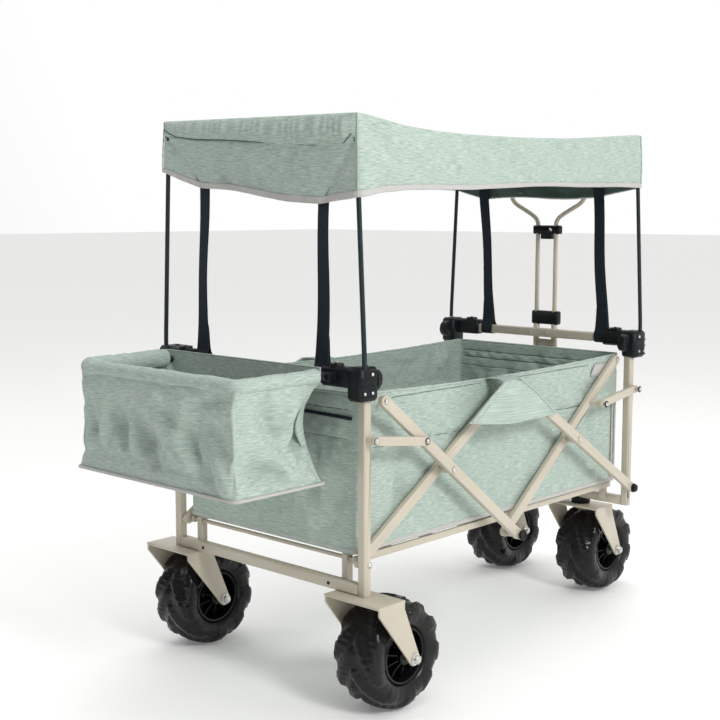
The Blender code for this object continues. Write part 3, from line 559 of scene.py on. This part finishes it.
def step(v, at, width):
    t = min(max((v - at) / width + 0.5, 0), 1)
    return t * t * (3 - 2 * t)


def rounded(x, y, x0, x1, half, rear, near):
    """(x, y) of a rectangle moved so that its corners get these radii."""
    middle = (x0 + x1) / 2
    r = rear if x < middle else near
    end = x0 if x < middle else x1
    sx, sy = (1 if x >= middle else -1), (1 if y >= 0 else -1)
    dx = 1 - abs(end - x) / r
    dy = 1 - (half - abs(y)) / r
    if dx <= 0 or dy <= 0:
        return x, y
    ex, ey = dx * math.sqrt(max(1 - dy * dy / 2, 0)), dy * math.sqrt(max(1 - dx * dx / 2, 0))
    return end - sx * r * (1 - ex), sy * (half - r * (1 - ey))


def border(nx, ny):
    """The points along the edge of a grid, in the order of edge_run."""
    return ([(i, 0) for i in range(nx)] + [(nx, j) for j in range(ny)]
            + [(i, ny) for i in range(nx, 0, -1)] + [(0, j) for j in range(ny, 0, -1)])


def edge_run(x0, x1, half, rear, near, steps):
    """The rectangle's edge from its right rear corner along the right side: (x, y, outward, distance)."""
    nx, ny = steps
    grid = border(nx, ny)
    flat = [rounded(x0 + (x1 - x0) * i / nx, -half + 2 * half * j / ny, x0, x1, half, rear, near) for i, j in grid]
    run, far = [], 0.0
    for k, (x, y) in enumerate(flat):
        a, b = flat[k - 1], flat[(k + 1) % len(flat)]
        out = Vector((b[1] - a[1], a[0] - b[0], 0)).normalized()
        run.append((x, y, out, far))
        far += math.hypot(b[0] - x, b[1] - y)
    return grid, run, far


def cloth_box(name, x0, x1, half, rear, near, steps, face, wall, levels, deep, mat, thickness, body, subdivide=1):
    """A cloth with a rectangular face and a wall sewn to its whole edge. face and wall give the points in space."""
    nx, ny = steps
    bm = bmesh.new()
    layer = bm.loops.layers.uv.new("UVMap")
    grid, run, far = edge_run(x0, x1, half, rear, near, steps)
    place = {}
    for i in range(nx + 1):
        for j in range(ny + 1):
            x, y = rounded(x0 + (x1 - x0) * i / nx, -half + 2 * half * j / ny, x0, x1, half, rear, near)
            place[i, j] = (bm.verts.new(face(x, y)), (x, y))
    for i in range(nx):
        for j in range(ny):
            four = [place[i, j], place[i + 1, j], place[i + 1, j + 1], place[i, j + 1]]
            f = bm.faces.new([p[0] for p in four])
            for loop, p in zip(f.loops, four):
                loop[layer].uv = p[1]
    rows = [[place[g][0] for g in grid]]
    for t in levels:
        rows.append([bm.verts.new(wall(x, y, out, d, t)) for x, y, out, d in run])
    ts = [0.0] + list(levels)
    for k in range(len(rows) - 1):
        for i in range(len(run)):
            j = (i + 1) % len(run)
            end = run[j][3] if j else far
            f = bm.faces.new((rows[k][i], rows[k][j], rows[k + 1][j], rows[k + 1][i]))
            for loop, uv in zip(f.loops, ((run[i][3], ts[k]), (end, ts[k]), (end, ts[k + 1]), (run[i][3], ts[k + 1]))):
                loop[layer].uv = (uv[0], uv[1] * deep + 3.0)
    bmesh.ops.recalc_face_normals(bm, faces=bm.faces[:])
    return sheet_object(name, bm, mat, thickness, body, subdivide)


def tube_round(name, points, radius, mat, body, closed=True, steps=8):
    """A cord or piping along points. radius is a number or a function of the place along it."""
    bm = bmesh.new()
    pts = [Vector(p) for p in points]
    count = len(pts)
    rows, side = [], None
    for k, p in enumerate(pts):
        ahead = pts[(k + 1) % count] if closed or k < count - 1 else p
        back = pts[k - 1] if closed or k > 0 else p
        way = (ahead - back).normalized()
        side = (Vector((0, 0, 1)) - way * way.z) if abs(way.z) < 0.9 else (Vector((1, 0, 0)) - way * way.x)
        side.normalize()
        other = way.cross(side)
        r = radius(k) if callable(radius) else radius
        rows.append([bm.verts.new(p + side * (r * math.cos(a)) + other * (r * math.sin(a)))
                     for a in (2 * math.pi * i / steps for i in range(steps))])
    layer = bm.loops.layers.uv.new("UVMap")
    pairs = list(zip(rows, rows[1:])) + ([(rows[-1], rows[0])] if closed else [])
    far, girth = 0.0, 6.28 * (radius(0) if callable(radius) else radius)
    for k, (a, b) in enumerate(pairs):
        ahead = far + (pts[(k + 1) % count] - pts[k]).length
        for i in range(steps):
            f = bm.faces.new((a[i], a[(i + 1) % steps], b[(i + 1) % steps], b[i]))
            around = (girth * i / steps, girth * (i + 1) / steps)
            for loop, uv in zip(f.loops, ((far, around[0]), (far, around[1]), (ahead, around[1]), (ahead, around[0]))):
                loop[layer].uv = uv
        far = ahead
    if not closed:
        bm.faces.new(rows[0])
        bm.faces.new(rows[-1])
    bmesh.ops.recalc_face_normals(bm, faces=bm.faces[:])
    return as_object(name, bm, mat, body, smooth=60)


heather_group = woven_group("heather_weave", 70.0, 1150.0, 0.19)
MINT = {"Color": (0.285, 0.375, 0.322, 1), "Slub": (0.52, 0.585, 0.535, 1), "Roughness": 0.86}
MINT_CLOTH = dict(bump=0.0006, strength=0.45, Sheen_Weight=0.12, Sheen_Roughness=0.5, Specular_IOR_Level=0.25)
mint = finish_of("mint_heather", heather_group, MINT, **MINT_CLOTH)
grey_tape = finish_of("grey_binding", webbing_group,
                      {"Color": (0.42, 0.41, 0.39, 1), "Slub": (0.52, 0.505, 0.485, 1), "Roughness": 0.8},
                      bump=0.0003, strength=0.4, Sheen_Weight=0.1)

# Painted seam shadow: a dark green material for thin cords laid along seams, standing in for the shade in their
# grooves.
shadow_cord_material = finish_of("painted_seam_shadow", webbing_group,
                   {"Color": (0.085, 0.145, 0.118, 1), "Slub": (0.11, 0.175, 0.145, 1), "Roughness": 0.9},
                   bump=0.0001, strength=0.2, Specular_IOR_Level=0.1)


def seam_shadow_cord(name, points, body, closed=False, radius=0.0009):
    """A thin dark green cord laid in a seam: painted shadow that stands for the shade in the seam's groove."""
    obj = tube_round(name, points, radius, shadow_cord_material, body, closed=closed, steps=5)
    return obj


TUB_X0, TUB_X1, TUB_Y, TUB_Z = REAR, FRONT, 0.2325, 0.2918
TUB_RIM, TUB_ROUND = 0.585, 0.014


def tub_rim(x):
    return TUB_RIM - 0.0095 * math.sin(math.pi * min(max((x - TUB_X0) / (TUB_X1 - TUB_X0), 0), 1))


SIDE_FOLDS = [((0.046, 0.53), (0.02, 0.33), 0.016, -0.005), ((0.075, 0.52), (0.12, 0.36), 0.018, 0.0038),
              ((-0.02, 0.5), (-0.06, 0.32), 0.014, -0.0046), ((0.13, 0.48), (0.15, 0.31), 0.013, -0.0044),
              ((-0.1, 0.47), (-0.085, 0.32), 0.012, 0.0036), ((-0.29, 0.47), (-0.255, 0.36), 0.014, -0.0048),
              ((-0.33, 0.46), (-0.34, 0.33), 0.012, 0.0034), ((0.25, 0.47), (0.215, 0.32), 0.013, -0.0042),
              ((0.33, 0.46), (0.35, 0.33), 0.015, 0.0038), ((0.4, 0.44), (0.385, 0.32), 0.012, -0.0038),
              ((-0.19, 0.3), (-0.14, 0.345), 0.012, -0.004), ((-0.23, 0.3), (-0.3, 0.35), 0.012, 0.0034),
              ((0.17, 0.3), (0.09, 0.345), 0.012, -0.0036), ((-0.36, 0.575), (-0.29, 0.5), 0.012, -0.0034),
              ((0.445, 0.57), (0.38, 0.5), 0.012, -0.0034), ((-0.16, 0.56), (-0.06, 0.505), 0.014, 0.0024),
              ((0.12, 0.57), (0.22, 0.51), 0.014, 0.0024)]
END_FOLDS = [((-0.15, 0.52), (-0.11, 0.38), 0.018, -0.005), ((0.02, 0.5), (-0.02, 0.34), 0.02, -0.006),
             ((0.13, 0.52), (0.16, 0.36), 0.016, -0.0048), ((-0.06, 0.42), (-0.13, 0.32), 0.014, 0.004),
             ((0.08, 0.4), (0.12, 0.31), 0.014, 0.004), ((-0.2, 0.45), (-0.18, 0.34), 0.012, -0.004)]


def tub_wall(x, y, out, d, t):
    side = abs(out.y) > 0.7
    rim = tub_rim(x)
    z = TUB_Z + (rim - TUB_Z) * t
    fade = min(1.0, min(x - TUB_X0, TUB_X1 - x) / 0.03 if side else (TUB_Y - abs(y)) / 0.03)
    fade = max(fade, 0.0)
    q = x if side else y
    lift = sum(fold(q if out.y < 0 or not side else q + 0.01, z, *f) for f in (SIDE_FOLDS if side else END_FOLDS))
    lift += crumple(q + (0.7 if out.y > 0 or out.x > 0.5 else 0), z, 13.0, 0.011, 3.1) + ripple(q, z, 9.0, 0.0035, 7.7)
    lift = 1.6 * lift * fade * min(1, t / 0.12) * (1 - 0.75 * step(t, 0.93, 0.1))
    if side:
        lift = min(lift, 0.0008) if lift > 0 else lift
        lift += -0.0026 * (1 - step(z, 0.4825, 0.003)) - 0.0016 * math.exp(-((z - 0.4815) / 0.0022) ** 2)
        lift -= 0.0012 * math.exp(-((z - (rim - 0.016)) / 0.002) ** 2)
    elif out.x < 0:
        lift += -0.0022 * (1 - step(z, 0.503, 0.003)) - 0.0014 * math.exp(-((z - 0.502) / 0.0022) ** 2) - 0.002
        lift -= 0.0016 * math.exp(-((z - 0.556) / 0.0024) ** 2)
    else:
        for seam in (0.562, 0.5455, 0.523, 0.517):
            lift += 0.003 * math.exp(-((z - seam) / 0.002) ** 2)
        if 0.546 < z < 0.562:
            lift -= 0.0016 * math.sin(q * 520 + z * 240) * fade
        lift -= 0.003
    return Vector((x, y, z)) + out * lift


def dense(marks, low, high, gap):
    """Levels from low to high about gap apart, with close ones on both sides of each mark."""
    found = {round(low, 5), round(high, 5)}
    count = int((high - low) / gap)
    found.update(round(low + (high - low) * i / count, 5) for i in range(1, count))
    for mark, width in marks:
        found = {v for v in found if abs(v - mark) > width * 1.6 or v in (low, high)}
        found.update(round(mark + k * width, 5) for k in (-1.3, -0.5, 0, 0.5, 1.3))
    return sorted(v for v in found if low <= v <= high)


rise = TUB_RIM - TUB_Z
tub_levels = dense([((z - TUB_Z) / rise, 0.0024 / rise) for z in (0.482, 0.5025, 0.56, 0.523, 0.544)], 0.02, 1.0, 0.038)
steps = (92, 50)
tub = cloth_box("tub_shown", TUB_X0, TUB_X1, TUB_Y, TUB_ROUND, TUB_ROUND, steps, lambda x, y: Vector((x, y, TUB_Z)),
                tub_wall, tub_levels, rise, mint, 0.0024, "rear_frame")
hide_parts("tub")
_, tub_run, _ = edge_run(TUB_X0, TUB_X1, TUB_Y, TUB_ROUND, TUB_ROUND, steps)
hem_line = [tub_wall(x, y, o, d, 1.0) + o * 0.0004 + Vector((0, 0, 0.0006)) for x, y, o, d in tub_run]
hem = tube_round("tub_hem_cord", hem_line, 0.0024, mint, "rear_frame")
bound = cloth_grid("tub_bottom_binding", [[tub_wall(x, y, o, d, t) + o * lift for x, y, o, d in tub_run]
                                          for t, lift in ((0.027, 0.0012), (0.024, 0.0018), (0.004, 0.002), (-0.003, 0.0012))],
                   grey_tape, 0.0012, "rear_frame", closed=True, subdivide=0)
tape_rows = [[Vector((TUB_X0 - 0.0012, -0.229 + 0.458 * i / 30, z + 0.003 * math.sin(math.pi * i / 30))) for i in range(31)]
             for z in (0.5385, 0.545)]
tape = cloth_grid("tub_rear_tape", tape_rows, webbing, 0.0012, "rear_frame", subdivide=0)
tub_trim = [hem, bound, tape]
for s, w in SIDES:
    patch_rows = [[Vector((a, w * (TUB_Y + 0.0026), z)) for a in (x0, (x0 + x1) / 2, x1)]
                  for x0, x1, z in ((0.385, 0.432, 0.57), (0.374, 0.424, 0.556), (0.366, 0.404, 0.542))]
    patch = cloth_grid(f"tub_corner_patch_{s}", patch_rows, grey_tape, 0.001, "rear_frame", subdivide=0)
    for k, x in enumerate((0.46, 0.4715)):
        band_rows = [[Vector((x + i * 0.0055, w * (TUB_Y + 0.0022), 0.305 + 0.245 * j / 8)) for i in (0, 1)] for j in range(9)]
        band = cloth_grid(f"tub_front_tape_{s}_{k}", band_rows, grey_tape, 0.001, "rear_frame", subdivide=0)
        tub_trim.append(band)
    tub_trim.append(patch)
    eyes = bmesh.new()
    for x, z in ((-0.356, 0.57), (-0.333, 0.558)):
        lathe(eyes, (x, w * (TUB_Y + 0.0012), z), (0, w, 0),
              [(0.0022, 0), (0.0046, 0), (0.0044, 0.0012), (0.0026, 0.0012), (0.0022, 0)], 18)
    tub_trim.append(as_object(f"tub_eyelets_{s}", eyes, steel, "rear_frame"))
    rows = []
    shape = [(0.233, 0.578, 0.024), (0.26, 0.5795, 0.025), (0.285, 0.5775, 0.027), (0.2888, 0.57, 0.04), (0.2896, 0.556, 0.063),
             (0.29, 0.54, 0.086), (0.2905, 0.524, 0.107), (0.2912, 0.508, 0.128), (0.292, 0.495, 0.144), (0.2918, 0.4915, 0.147)]
    for k, (y, z, half) in enumerate(shape):
        row = []
        for i in range(25):
            c = -1 + 2 * i / 24
            x = 0.006 + c * half
            sag = 0.0018 * math.cos(c * 4.4) * k / 9 + 0.0012 * noise.noise(Vector((x * 40, z * 40, 4.0)))
            drop = -(0.0165 * max(-c, 0) ** 1.5 + 0.0015) * (k / 9) ** 2
            row.append(Vector((x, w * (y + sag * (1 if k > 2 else 0)), z - drop)))
        rows.append(row)
    flap = cloth_grid(f"tub_flap_{s}", rows, mint, 0.002, "rear_frame")
    lower = tube_round(f"tub_flap_piping_{s}", [p + Vector((0, 0, -0.0006)) for p in rows[-1]], 0.0017, mint,
                       "rear_frame", closed=False)
    hems = []
    for e in (0, -1):
        strip_rows = [[row[e] + (row[12] - row[e]).normalized() * g + Vector((0, w * 0.0013, 0))
                       for g in (0.0, 0.02 if e == 0 else 0.008)] for row in rows[2:]]
        strip = cloth_grid(f"tub_flap_hem_{s}_{abs(e)}", strip_rows, mint, 0.0012, "rear_frame", subdivide=0)
        hems.append(strip)
    tub_trim += [flap, lower] + hems
    # Dark cords along each side's seams: painted seam shadow.
    for label, z, x0, x1 in (("low", 0.4818, -0.38, 0.468), ("high", 0.57, -0.3, -0.03), ("high_front", 0.57, 0.06, 0.36)):
        line = [tub_wall(x, w * TUB_Y, Vector((0, w, 0)), 0, (z - TUB_Z) / (tub_rim(x) - TUB_Z)) + Vector((0, w * 0.0016, 0))
                for x in (x0 + (x1 - x0) * k / 60 for k in range(61))]
        tub_trim.append(seam_shadow_cord(f"tub_side_stitching_{label}_{s}", line, "rear_frame",
                                 radius=0.0009 if label == "low" else 0.0006))
# Dark cords along the rear and front seams: painted seam shadow.
for label, z, x, out in (("rear_low", 0.5022, TUB_X0, Vector((-1, 0, 0))), ("rear_high", 0.556, TUB_X0, Vector((-1, 0, 0))),
                         ("front_inner", 0.5625, TUB_X1, Vector((1, 0, 0))),
                         ("front_inner_low", 0.5455, TUB_X1, Vector((1, 0, 0)))):
    inner = -0.003 if x > 0 else 0.0016
    line = [tub_wall(x, -0.214 + 0.428 * k / 40, out, 0, (z - TUB_Z) / (tub_rim(x) - TUB_Z)) + out * inner for k in range(41)]
    tub_trim.append(seam_shadow_cord(f"tub_{label}_stitching", line, "rear_frame", radius=0.0008))
for piece in [tub] + tub_trim:
    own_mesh(piece)

# ---- Floor pad ----
# A stiff board wrapped in the tub's cloth over a thin layer of foam lies loose on the tub's floor.
# It is stitched across so that it can fold with the frame.
PAD_X0, PAD_X1, PAD_Y = -0.392, 0.48, 0.2255


def pad_top(x, y):
    crown = (1 - (2 * (x - PAD_X0) / (PAD_X1 - PAD_X0) - 1) ** 8) * (1 - (y / PAD_Y) ** 8)
    seam = sum(math.exp(-((x - at) / 0.006) ** 2) for at in (-0.175, 0.044, 0.263))
    return Vector((x, y, 0.302 + 0.0028 * max(crown, 0) - 0.0022 * seam + 0.0005 * noise.noise(Vector((x * 14, y * 14, 0)))))


pad_bm = bmesh.new()
layer = pad_bm.loops.layers.uv.new("UVMap")
nx, ny = 80, 24
pad_grid = [[(PAD_X0 + (PAD_X1 - PAD_X0) * i / nx, -PAD_Y + 2 * PAD_Y * j / ny) for j in range(ny + 1)] for i in range(nx + 1)]
upper = [[pad_bm.verts.new(pad_top(x, y)) for x, y in row] for row in pad_grid]
under = [[pad_bm.verts.new((x, y, 0.2958)) for x, y in row] for row in pad_grid]
for g in (upper, under):
    for i in range(nx):
        for j in range(ny):
            pad_bm.faces.new((g[i][j], g[i + 1][j], g[i + 1][j + 1], g[i][j + 1]))
edge = border(nx, ny)
for (a, b), (c, d) in zip(edge, edge[1:] + edge[:1]):
    pad_bm.faces.new((upper[a][b], upper[c][d], under[c][d], under[a][b]))
bmesh.ops.recalc_face_normals(pad_bm, faces=pad_bm.faces[:])
for f in pad_bm.faces:
    for loop in f.loops:
        loop[layer].uv = (loop.vert.co.x, loop.vert.co.y + loop.vert.co.z)
pad = as_object("floor_pad", pad_bm, mint, "rear_frame")
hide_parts("floor_board")
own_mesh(pad)

# ---- Rear basket ----
# A thin unlined basket of the tub's cloth hangs by a sewn sleeve on a U-shaped rod that hinges on the rear brackets.
# Its bottom seam is bound in grey, and its walls hang crumpled because nothing stretches them.
BX0, BX1, BY, BZ = -0.668, -0.459, 0.215, 0.432
BASKET_ROUND, BASKET_SKEW = 0.012, 0.0095
BASKET_REAR = [((-0.06, 0.56), (-0.125, 0.462), 0.012, -0.0085), ((-0.09, 0.59), (-0.06, 0.5), 0.014, 0.0075),
               ((0.02, 0.565), (-0.14, 0.45), 0.011, 0.007), ((0.12, 0.575), (0.07, 0.47), 0.013, -0.008),
               ((0.145, 0.56), (0.15, 0.48), 0.011, 0.006), ((0.06, 0.54), (-0.01, 0.465), 0.012, -0.0065),
               ((0.18, 0.52), (0.16, 0.5), 0.009, -0.005), ((-0.19, 0.6), (-0.11, 0.585), 0.008, -0.004),
               ((0.0, 0.6), (-0.02, 0.575), 0.01, 0.004), ((-0.15, 0.52), (-0.195, 0.44), 0.011, 0.007)]
BASKET_SIDE = [((-0.6, 0.59), (-0.56, 0.52), 0.011, -0.006), ((-0.52, 0.58), (-0.565, 0.53), 0.01, 0.0065),
               ((-0.49, 0.56), (-0.505, 0.47), 0.011, -0.01), ((-0.47, 0.52), (-0.53, 0.5), 0.01, -0.008),
               ((-0.61, 0.53), (-0.53, 0.45), 0.011, 0.007), ((-0.64, 0.48), (-0.56, 0.45), 0.012, -0.007),
               ((-0.54, 0.455), (-0.47, 0.475), 0.009, 0.006)]


def basket_wall(x, y, out, d, t):
    near = out.x > 0.7
    top = 0.637 if near else 0.617
    z = BZ + (top - BZ) * t
    side = abs(out.y) > 0.7
    waist = math.sin(math.pi * t)
    skew = (BASKET_SKEW - 0.003 * t) * (1 + y / BY)
    if near:
        y = y * (1 - 0.04 * waist / BY) + skew
        lift = -0.004 * waist + ripple(y, z, 18, 0.003, 2.0) * waist
        return Vector((x, y, z)) + out * min(lift, 0)
    q = x if side else y
    mix = min(max(abs(out.y), 0), 1)
    rear_part = sum(fold(y, z, *f) for f in BASKET_REAR) if mix < 0.95 else 0
    side_part = sum(fold(x, z, *f) for f in BASKET_SIDE) if mix > 0.05 else 0
    lift = 2.6 * (rear_part * (1 - mix) + side_part * mix)
    lift += crumple(q, z, 10, 0.022, 1.3 + out.y) * waist + ripple(q, z, 8, 0.009, 5.0) * waist
    close = min(max((x - (BX1 - 0.075)) / 0.075, 0), 1) if side else 0
    lift -= waist * (0.004 + 0.034 * close * close + 0.007 * mix)
    lift -= 0.004 * math.exp(-((t - 0.17) / 0.035) ** 2)
    lift *= min(1, (1 - t) / 0.08)
    lift = min(lift, 0.0048) - 0.0085 * step(t, 0.9, 0.2) * (1 - 0.7 * mix)
    tuck = 0.0 if t > 0.1 else (0.1 - t) * 0.02
    return Vector((x, y + skew, z)) + out * (lift - tuck)


def basket_floor(x, y):
    inside = (1 - ((x - (BX0 + BX1) / 2) / ((BX1 - BX0) / 2)) ** 2) * (1 - (y / BY) ** 2)
    uneven = 0.0015 * noise.noise(Vector((x * 30, y * 30, 0)))
    return Vector((x, y + BASKET_SKEW * (1 + y / BY), BZ - 0.004 * max(inside, 0) + uneven))


basket_steps = (34, 72)
basket_levels = [k / 28 for k in range(1, 29)]
basket = cloth_box("basket_shown", BX0, BX1, BY, BASKET_ROUND, 0.006, basket_steps, basket_floor, basket_wall,
                   basket_levels, 0.18, mint, 0.0016, "basket_arm")
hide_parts("basket")
_, basket_run, _ = edge_run(BX0, BX1, BY, BASKET_ROUND, 0.006, basket_steps)
piping_line = [Vector((x, y + BASKET_SKEW * (1 + y / BY), BZ - 0.0004)) + o * 0.0012 for x, y, o, d in basket_run]
basket_trim = [tube_round("basket_bottom_piping", piping_line, 0.003, grey_tape, "basket_arm")]
rim_line = [(x, y) for x, y, o, d in basket_run if x < BX1 - 0.008]
first = next(i for i in range(len(rim_line)) if rim_line[i][1] > 0 and rim_line[i - 1][1] < 0)
rim_line = rim_line[first:] + rim_line[:first]
sleeve_path = []
for x, y in rim_line:
    dx = min(max((x - BX0) / 0.05, 0), 1)
    sleeve_path.append(Vector((x + 0.0145 * (1 - dx), y * (0.2065 / BY) + 0.0036 * (1 + y / BY), 0.6225)))


def sleeve_radius(k):
    p = sleeve_path[k]
    return 0.0132 + 0.0042 * step(p.y, 0.19, 0.03) + 0.0016 * noise.noise(p * 45) + 0.0004 * math.sin(k * 2.1)


sleeve = tube_round("basket_rim_sleeve", sleeve_path, sleeve_radius, mint, "basket_arm", closed=False, steps=14)
near_hem = tube_round("basket_near_hem", [Vector((BX1 + 0.0002, -0.207 + 0.433 * i / 20, 0.637)) for i in range(21)],
                      0.0016, mint, "basket_arm", closed=False)
basket_trim += [sleeve, near_hem]
for piece in [basket] + basket_trim:
    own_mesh(piece)
show_cad(["basket_frame"], dark_paint, 0, 60)

# ---- Canopy ----
# One sheet of the mint cloth stretched over the two pole ends, sewn down its four corners, dark backed, grey bound.
# Each end has a gathered sleeve over the cross bar, and the straps pull the middle of the end skirts down and in.
CX0, CX1, CY, CANOPY_ROUND = -0.426, 0.513, 0.265, 0.01
TOP_LINE = [(-0.426, 1.08), (-0.395, 1.0775), (-0.36, 1.0725), (-0.29, 1.063), (-0.2, 1.0575), (-0.115, 1.0555), (0.05, 1.0565),
            (0.25, 1.0625), (0.35, 1.069), (0.43, 1.0755), (0.48, 1.079), (0.517, 1.0805)]
EDGE_LINE = [(-0.429, 0.9515), (-0.36, 0.96), (-0.29, 0.963), (-0.2, 0.961), (-0.115, 0.9595), (0.05, 0.9615), (0.16, 0.963),
             (0.25, 0.9625), (0.4, 0.965), (0.517, 0.964)]


def along(line, x):
    for (a, p), (b, q) in zip(line, line[1:]):
        if x <= b:
            t = min(max((x - a) / (b - a), 0), 1)
            return p + (q - p) * t
    return line[-1][1]


def tilt(x, y, t):
    """How much higher the cloth hangs at its left rear corner than it should."""
    rear = min(max((0.1 - x) / 0.5, 0), 1)
    return rear * (0.0045 + 0.016 * y + t * (0.007 + 0.085 * y))


def canopy_top(x, y):
    z = along(TOP_LINE, x)
    over = 1 - (y / CY) ** 2
    taut = min(min(x - CX0, CX1 - x) / 0.1, 1)
    z += tilt(x, y, 0.0)
    z -= 0.005 * max(over, 0) * taut
    z += 0.0012 * noise.noise(Vector((x * 9, y * 14, 2.0))) * taut * max(over, 0)
    return Vector((x, y, z - (0.0018 if abs(y) > CY - 0.004 else 0)))


CANOPY_SIDE = [((0.5, 1.06), (0.39, 0.985), 0.012, -0.005), ((0.49, 1.045), (0.33, 0.975), 0.014, 0.0042),
               ((0.455, 1.07), (0.43, 1.05), 0.008, -0.003), ((-0.25, 1.058), (-0.235, 1.03), 0.009, -0.003),
               ((-0.4, 1.07), (-0.33, 1.0), 0.013, -0.0034), ((-0.18, 1.05), (-0.14, 0.985), 0.014, 0.0036),
               ((-0.02, 1.045), (0.04, 0.99), 0.015, -0.0034), ((0.11, 1.05), (0.06, 0.975), 0.012, 0.0034),
               ((0.2, 1.05), (0.23, 0.99), 0.012, -0.0032), ((-0.3, 1.0), (-0.22, 0.965), 0.012, -0.003),
               ((0.3, 1.04), (0.36, 1.02), 0.009, 0.0028)]
CANOPY_END = [((0.06, 1.02), (-0.04, 0.96), 0.016, 0.003), ((-0.11, 1.03), (-0.07, 0.99), 0.01, -0.0028),
              ((0.13, 0.99), (0.06, 0.955), 0.012, -0.0034), ((-0.02, 0.96), (-0.1, 0.945), 0.012, 0.003)]


def canopy_wall(x, y, out, d, t):
    side = abs(out.y) > 0.8
    top = along(TOP_LINE, x) - 0.0018
    low = along(EDGE_LINE, x)
    if side:
        z = top + (low - top) * t + tilt(x, y, t)
        creases = 2.6 * sum(fold(x, z, *f) for f in CANOPY_SIDE)
        lift = crumple(x, z + 4 * out.y, 12, 0.011, 2.0) + creases + ripple(x, z, 6, 0.005, 9.0)
        fade = min(1, min(x - CX0, CX1 - x) / 0.03)
        lift = lift * max(fade, 0) * min(1, t / 0.15) + 0.0045 * t * t + 0.0025 * math.sin(math.pi * t)
        lift += 0.0018 * math.sin(x * 31 + 1) * t
        return Vector((x, y, z)) + out * lift
    a = min(max((CY - abs(y)) / (CY - STRAP_Y), 0), 1)
    low = low - 0.0215 * a + 0.0025 * math.sin(y * 22) * a
    z = top + (low - top) * t + tilt(x, y, t)
    b = min(max((t - 0.24) / 0.76, 0), 1)
    pull = 0.014 * min(a, b)
    fade = min(1, (CY - abs(y)) / 0.03)
    lift = -pull
    lift -= 0.006 * math.exp(-((a - b) / 0.05) ** 2) * (min((0.9 - a) / 0.2, 1) if 0.1 < a < 0.9 else 0)
    sleeve_t = 0.305 - 0.05 * y / CY
    if t < sleeve_t + 0.06:
        bulge = math.sin(math.pi * min(t / sleeve_t, 1)) ** 0.7 if t < sleeve_t else 0
        lift += fade * (0.0095 * bulge + 0.0026 * bulge * math.sin(y * 300 + 3 * math.sin(y * 60)))
    lift -= 0.0045 * math.exp(-((t - sleeve_t - 0.01) / 0.016) ** 2) * fade
    lift += (2.6 * sum(fold(y, z, *f) for f in CANOPY_END) + crumple(y, z, 14, 0.009, 1.0)) * fade * step(t, 0.4, 0.2)
    if abs(out.x) < 0.95:
        lift *= 0.5
    return Vector((x, y, z)) + out * lift


backed = finish_of("mint_heather_dark_backed", heather_group, MINT, **MINT_CLOTH)
lining = finish_of("dark_green_lining", heather_group,
                   {"Color": (0.04, 0.072, 0.06, 1), "Slub": (0.07, 0.11, 0.092, 1), "Roughness": 0.8},
                   bump=0.0004, strength=0.4, Sheen_Weight=0.1)
canopy_steps = (84, 92)
canopy_levels = [0.03, 0.07, 0.12, 0.17, 0.22, 0.255, 0.278, 0.289, 0.3, 0.311, 0.34, 0.4, 0.47, 0.54, 0.61, 0.68, 0.75,
                 0.82, 0.88, 0.94, 1.0]
canopy = cloth_box("canopy_shown", CX0, CX1, CY, CANOPY_ROUND, CANOPY_ROUND, canopy_steps, canopy_top, canopy_wall,
                   canopy_levels, 0.12, backed, 0.0, "rear_frame")
canopy.data.materials.append(lining)
shell = canopy.modifiers.new("cloth", "SOLIDIFY")
shell.thickness, shell.offset, shell.material_offset = 0.0016, -1, 1
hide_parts("canopy")
_, canopy_run, _ = edge_run(CX0, CX1, CY, CANOPY_ROUND, CANOPY_ROUND, canopy_steps)
edging = cloth_grid("canopy_binding", [[canopy_wall(x, y, o, d, t) + o * lift for x, y, o, d in canopy_run]
                                       for t, lift in ((0.935, 0.0002), (0.943, 0.0004), (1.0, 0.0006), (1.015, 0.0))],
                    grey_tape, 0.0034, "rear_frame", closed=True, subdivide=0)
canopy_trim = [edging]
count_x, count_y = canopy_steps
for label, k in (("rear_R", 0), ("front_R", count_x), ("front_L", count_x + count_y), ("rear_L", 2 * count_x + count_y)):
    x, y, o, d = canopy_run[k]
    line = [canopy_wall(x, y, o, d, t / 16) + o * 0.0006 for t in range(0, 17)]
    canopy_trim.append(tube_round(f"canopy_corner_seam_{label}", line, lambda i: 0.0016 + 0.0004 * math.sin(i * 2.4),
                                  backed, "rear_frame", closed=False))
# Dark cords along each end's sleeve seam and strap seams: painted seam shadow.
for end, x, out in (("rear", CX0, Vector((-1, 0, 0))), ("front", CX1, Vector((1, 0, 0)))):
    line = []
    for y in ((CY - 0.011) * k / 24 for k in range(-24, 25)):
        level = 0.316 - 0.05 * y / CY - 0.2 * max(0, (abs(y) - CY + 0.045) / 0.045) ** 2
        line.append(canopy_wall(x, y, out, 0, level) + out * 0.0016)
    canopy_trim.append(tube_round(f"canopy_{end}_sleeve_stitching", line, 0.0011, shadow_cord_material, "rear_frame", closed=False, steps=5))
    for s, w in SIDES:
        line = [canopy_wall(x, w * (CY - k * (CY - STRAP_Y)), out, 0, 0.24 + 0.76 * k) + out * 0.001
                for k in (0.07 + 0.86 * i / 14 for i in range(15))]
        canopy_trim.append(tube_round(f"canopy_{end}_strap_seam_{s}", line, 0.001, shadow_cord_material, "rear_frame", closed=False, steps=5))
for piece in [canopy] + canopy_trim:
    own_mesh(piece)
